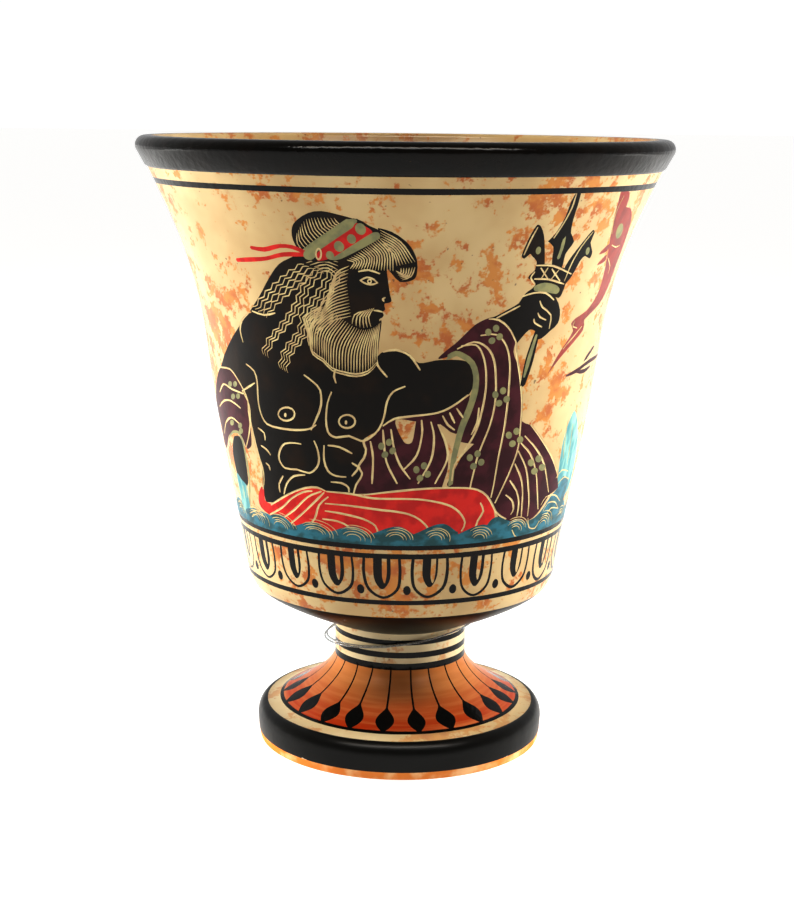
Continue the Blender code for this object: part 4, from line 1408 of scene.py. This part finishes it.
def faceValues(mesh, name, kind):
    return readMesh(mesh.attributes[name].data, "value", len(mesh.polygons), kind)


def setNormals(mesh):
    # The painted sheets shade as the true surface of revolution, and the incised grooves as flat cuts.
    mesh.polygons.foreach_set("use_smooth", [True] * len(mesh.polygons))
    mesh.set_sharp_from_angle(angle=math.radians(sharpAngle))
    corner, owner, places = cupArrays(mesh)
    kinds, grooves = faceValues(mesh, "kind", int), faceValues(mesh, "groove", bool)
    flat = readMesh(mesh.polygons, "normal", len(mesh.polygons) * 3)
    normals = np.zeros((len(corner), 3))
    reach = np.maximum(np.hypot(places[:, 0], places[:, 1]), 1e-6)
    slope = np.array([footSheet["surface"](-v) for v in np.linspace(0, slopeLength(), 60)])
    for kind in (1, 2):
        if kind == 1:
            height = np.clip(places[:, 2], wallSheet["low"], wallSheet["high"])
            outward, upward = wallSurface(height)[2:]
        else:
            outward, upward = (np.interp(places[:, 2], slope[::-1, 1], slope[::-1, i]) for i in (2, 3))
        true = np.stack([places[:, 0] / reach * outward, places[:, 1] / reach * outward,
                         upward + 0 * reach], 1)
        picked = kinds[owner] == kind
        normals[picked] = true[corner[picked]]
    cut = grooves[owner]
    normals[cut] = flat.reshape(-1, 3)[owner[cut]]
    mesh.normals_split_custom_set(normals.tolist())


def setBakeMap(mesh):
    # The angle goes across; up the map come the plain profile, the foot's slope and the wall, which has most
    # of the height.
    corner, owner, places = cupArrays(mesh)
    kinds = faceValues(mesh, "kind", int)[owner]
    stations = readMesh(mesh.attributes["station"].data, "value", len(mesh.vertices))
    u = np.arctan2(places[:, 0], -places[:, 1])[corner] / (2 * math.pi) + 0.5
    top, bottom = np.zeros(len(mesh.polygons)), np.ones(len(mesh.polygons))
    np.maximum.at(top, owner, u)
    np.minimum.at(bottom, owner, u)
    u = np.where((top - bottom > 0.5)[owner] & (u < 0.5), u + 1, u)
    height = places[corner, 2]
    stretches = (
        ("wall", height, wallSheet["low"], wallSheet["high"]),
        ("foot", height, *bakeMap["footHeights"]),
        ("rest", stations[corner], 0, max(stations.max(), 1e-9)),
    )
    wall, foot, rest = [bakeMap[name][0] + bakeMap[name][1] * (place - low) / (high - low)
                        for name, place, low, high in stretches]
    v = np.where(kinds == 1, wall, np.where(kinds == 2, foot, rest))
    layer = mesh.uv_layers.new(name="OFBake")
    layer.uv.foreach_set("vector", np.stack([u, v], 1).ravel())


def addPiece(name, mesh, node):
    piece = linked(name, mesh)
    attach(piece, "root")
    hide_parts(node)
    return piece


def makeCup(materials):
    c = cupShape
    source = linked("profile", profileMesh())
    inner = (c["columnBase"] - c["columnWall"] + c["bore"] + c["pipeWall"]) / 2
    outer = c["columnBase"] + c["columnFillet"]
    sill = c["underBendHeight"] + c["floor"] + c["intakeSill"] + c["intake"]
    values = {"Columns": c["columns"], "Intake Radius": c["intake"] * mm,
              "Intake Depth": (outer - inner) * mm,
              "Intake Place": (0.0, -(outer + inner) / 2 * mm, sill * mm)}
    turned = plainMesh(source, turnedTree(materials), values)
    bpy.data.objects.remove(source)
    print("turned:", len(turned.polygons), "faces")
    sheets = [wrapSheet(wallSheet, wallMarks()), wrapSheet(footSheet, footMarks())]
    print("painted sheets:", [len(sheet["faces"]) for sheet in sheets], "triangles")
    mesh = joinParts(turned, sheets)
    for name in paintOrder:
        mesh.materials.append(materials[name])
    setNormals(mesh)
    setBakeMap(mesh)
    return addPiece("pythagoreanCup", mesh, "cup_body")


thread = dict(
    radius=0.16, clearance=0.3, twist=0.3, low=19.9, high=23.8, turns=2,
    standOff=1.1, standOffPower=6,      # how far and how sharply it stands off at the two sides
    points=240, sides=8, colour="#B9BDBE",
)


def threadLine():
    # Two loose turns round the stem, standing off at the left and right.
    points = []
    inner = cupShape["stemRadius"] + thread["clearance"] + thread["radius"] + thread["twist"]
    for i in range(thread["points"]):
        angle = 2 * math.pi * thread["turns"] * i / thread["points"]
        side, twist = math.cos(angle), angle / 2 + math.pi / 4
        standOff = thread["standOff"] * side**thread["standOffPower"]
        radius = inner + thread["twist"] * math.cos(twist) + standOff
        height = (thread["low"] + thread["high"]) / 2 + (thread["high"] - thread["low"]) / 2 * side
        height += thread["twist"] * math.sin(twist)
        points.append((radius * math.cos(angle) * mm, radius * math.sin(angle) * mm, height * mm))
    mesh = bpy.data.meshes.new("thread line")
    mesh.from_pydata(points, [(i, (i + 1) % len(points)) for i in range(len(points))], [])
    return mesh


def threadTree(material):
    tree, given = newTree("thread", (("Radius", "Float"),))
    line = addNode(tree, "GeometryNodeMeshToCurve", {"Mesh": given})
    ring = addNode(tree, "GeometryNodeCurvePrimitiveCircle",
                   {"Resolution": thread["sides"], "Radius": (given, "Radius")})
    shape = addNode(tree, "GeometryNodeCurveToMesh", {"Curve": line, "Profile Curve": ring})
    last = ("SetMaterial", {"Material": material})
    for kind, inputs in (("SetShadeSmooth", {}), ("RealizeInstances", {}), last):
        shape = addNode(tree, "GeometryNode" + kind, {"Geometry": shape, **inputs})
    addNode(tree, "NodeGroupOutput", {0: shape})
    return tree


def plainMaterial(name, inputs):
    material = bpy.data.materials.new(name)
    material.use_nodes = True
    shader = material.node_tree.nodes["Principled BSDF"]
    for key, value in inputs.items():
        shader.inputs[key].default_value = value
    return material


def makeThread():
    # a smooth drawn filament that light passes through
    material = plainMaterial("clear nylon filament, drawn", {
        "Base Color": linearColour(thread["colour"]), "Roughness": 0.12, "Transmission Weight": 0.75,
        "IOR": 1.53})
    source = linked("thread line", threadLine())
    mesh = plainMesh(source, threadTree(material), {"Radius": thread["radius"] * mm})
    bpy.data.objects.remove(source)
    return addPiece("stemThread", mesh, "stem_thread")


studio = dict(
    floor="#A5A5A2", floorGlow=0.86, floorHalf=9, warm="#FFEED6", white="#FFFFFF",
    frontLight=0.08, backLight=0.6,
    turnover=(-0.5, 0.7),      # how far back the light turns from the front's to the back's
    sweep=1.05,                # how bright the plain white ground looks to the camera
    gamma=0.78,       # deep blacks, as a contrasty print has
    # azimuth from the front and elevation in degrees, width and height in metres, watts, colour, and
    # whether the box lights matt surfaces and shows in glossy ones
    boxes=(("left box", -106, 8, (0.12, 0.40), 9.0, "white", True, False),
           ("right box", 106, 8, (0.12, 0.40), 9.0, "white", True, False),
           ("strip", 0, 58, (0.80, 0.05), 2.0, "warm", True, True),
           ("sparkle", 0, 52, (0.90, 0.10), 3.0, "white", False, True)),
    boxReach=0.6, boxHeight=0.06,      # metres from the point they face, and that point's height
)


def addFloor():
    half = studio["floorHalf"]
    corners = [(x * half, y * half, 0) for x, y in ((-1, -1), (1, -1), (1, 1), (-1, 1))]
    mesh = bpy.data.meshes.new("floor")
    mesh.from_pydata(corners, [], [(0, 1, 2, 3)])
    mesh.materials.append(plainMaterial("white light table", {
        "Base Color": linearColour(studio["floor"]), "Roughness": 0.9, "Specular IOR Level": 0.1,
        "Emission Color": linearColour(studio["white"]), "Emission Strength": studio["floorGlow"]}))
    linked("floor", mesh)


def addSoftbox(name, azimuth, elevation, size, energy, colour, matt, glossy):
    data = bpy.data.lights.new(name, "AREA")
    data.shape = "RECTANGLE"
    data.size, data.size_y = size
    data.energy = energy
    data.color = linearColour(studio[colour])[:3]
    lamp = linked(name, data)
    lamp.visible_diffuse = matt
    lamp.visible_glossy = glossy
    around, up = math.radians(azimuth), math.radians(elevation)
    away = Vector((math.sin(around) * math.cos(up), -math.cos(around) * math.cos(up), math.sin(up)))
    lamp.location = Vector((0, 0, studio["boxHeight"])) + away * studio["boxReach"]
    lamp.rotation_euler = (-away).to_track_quat("-Z", "Y").to_euler()


def addLight():
    # A plain white sweep, whose light is stronger behind the cup than in front, boxes behind at both sides
    # and a strip above the lens.
    world = bpy.data.worlds.new("studio")
    bpy.context.scene.world = world
    world.use_nodes = True
    tree = world.node_tree
    tree.nodes.clear()
    coords = addNode(tree, "ShaderNodeTexCoord")
    parts = addNode(tree, "ShaderNodeSeparateXYZ", {0: (coords, "Generated")})
    share = addRange(tree, (parts, 1), *studio["turnover"], smooth=True)
    inputs = {"Value": share, "To Min": studio["frontLight"], "To Max": studio["backLight"]}
    level = addNode(tree, "ShaderNodeMapRange", inputs)
    tint = mixed(tree, share, studio["warm"], studio["white"])
    sky = addNode(tree, "ShaderNodeBackground", {"Color": tint, "Strength": level})
    inputs = {"Color": linearColour(studio["white"]), "Strength": studio["sweep"]}
    sweep = addNode(tree, "ShaderNodeBackground", inputs)
    seen = addNode(tree, "ShaderNodeLightPath")
    surface = addNode(tree, "ShaderNodeMixShader", {0: (seen, "Is Camera Ray"), 1: sky, 2: sweep})
    addNode(tree, "ShaderNodeOutputWorld", {"Surface": surface})
    for box in studio["boxes"]:
        addSoftbox(*box)
    bpy.context.scene.view_settings.view_transform = "Standard"
    bpy.context.scene.view_settings.gamma = studio["gamma"]


materials = makeMaterials()
paintNames = [materials[name].name for name in paintOrder]
print("materials made")
makeCup(materials)
makeThread()
print("thread made")
addFloor()
addLight()
addCamera()
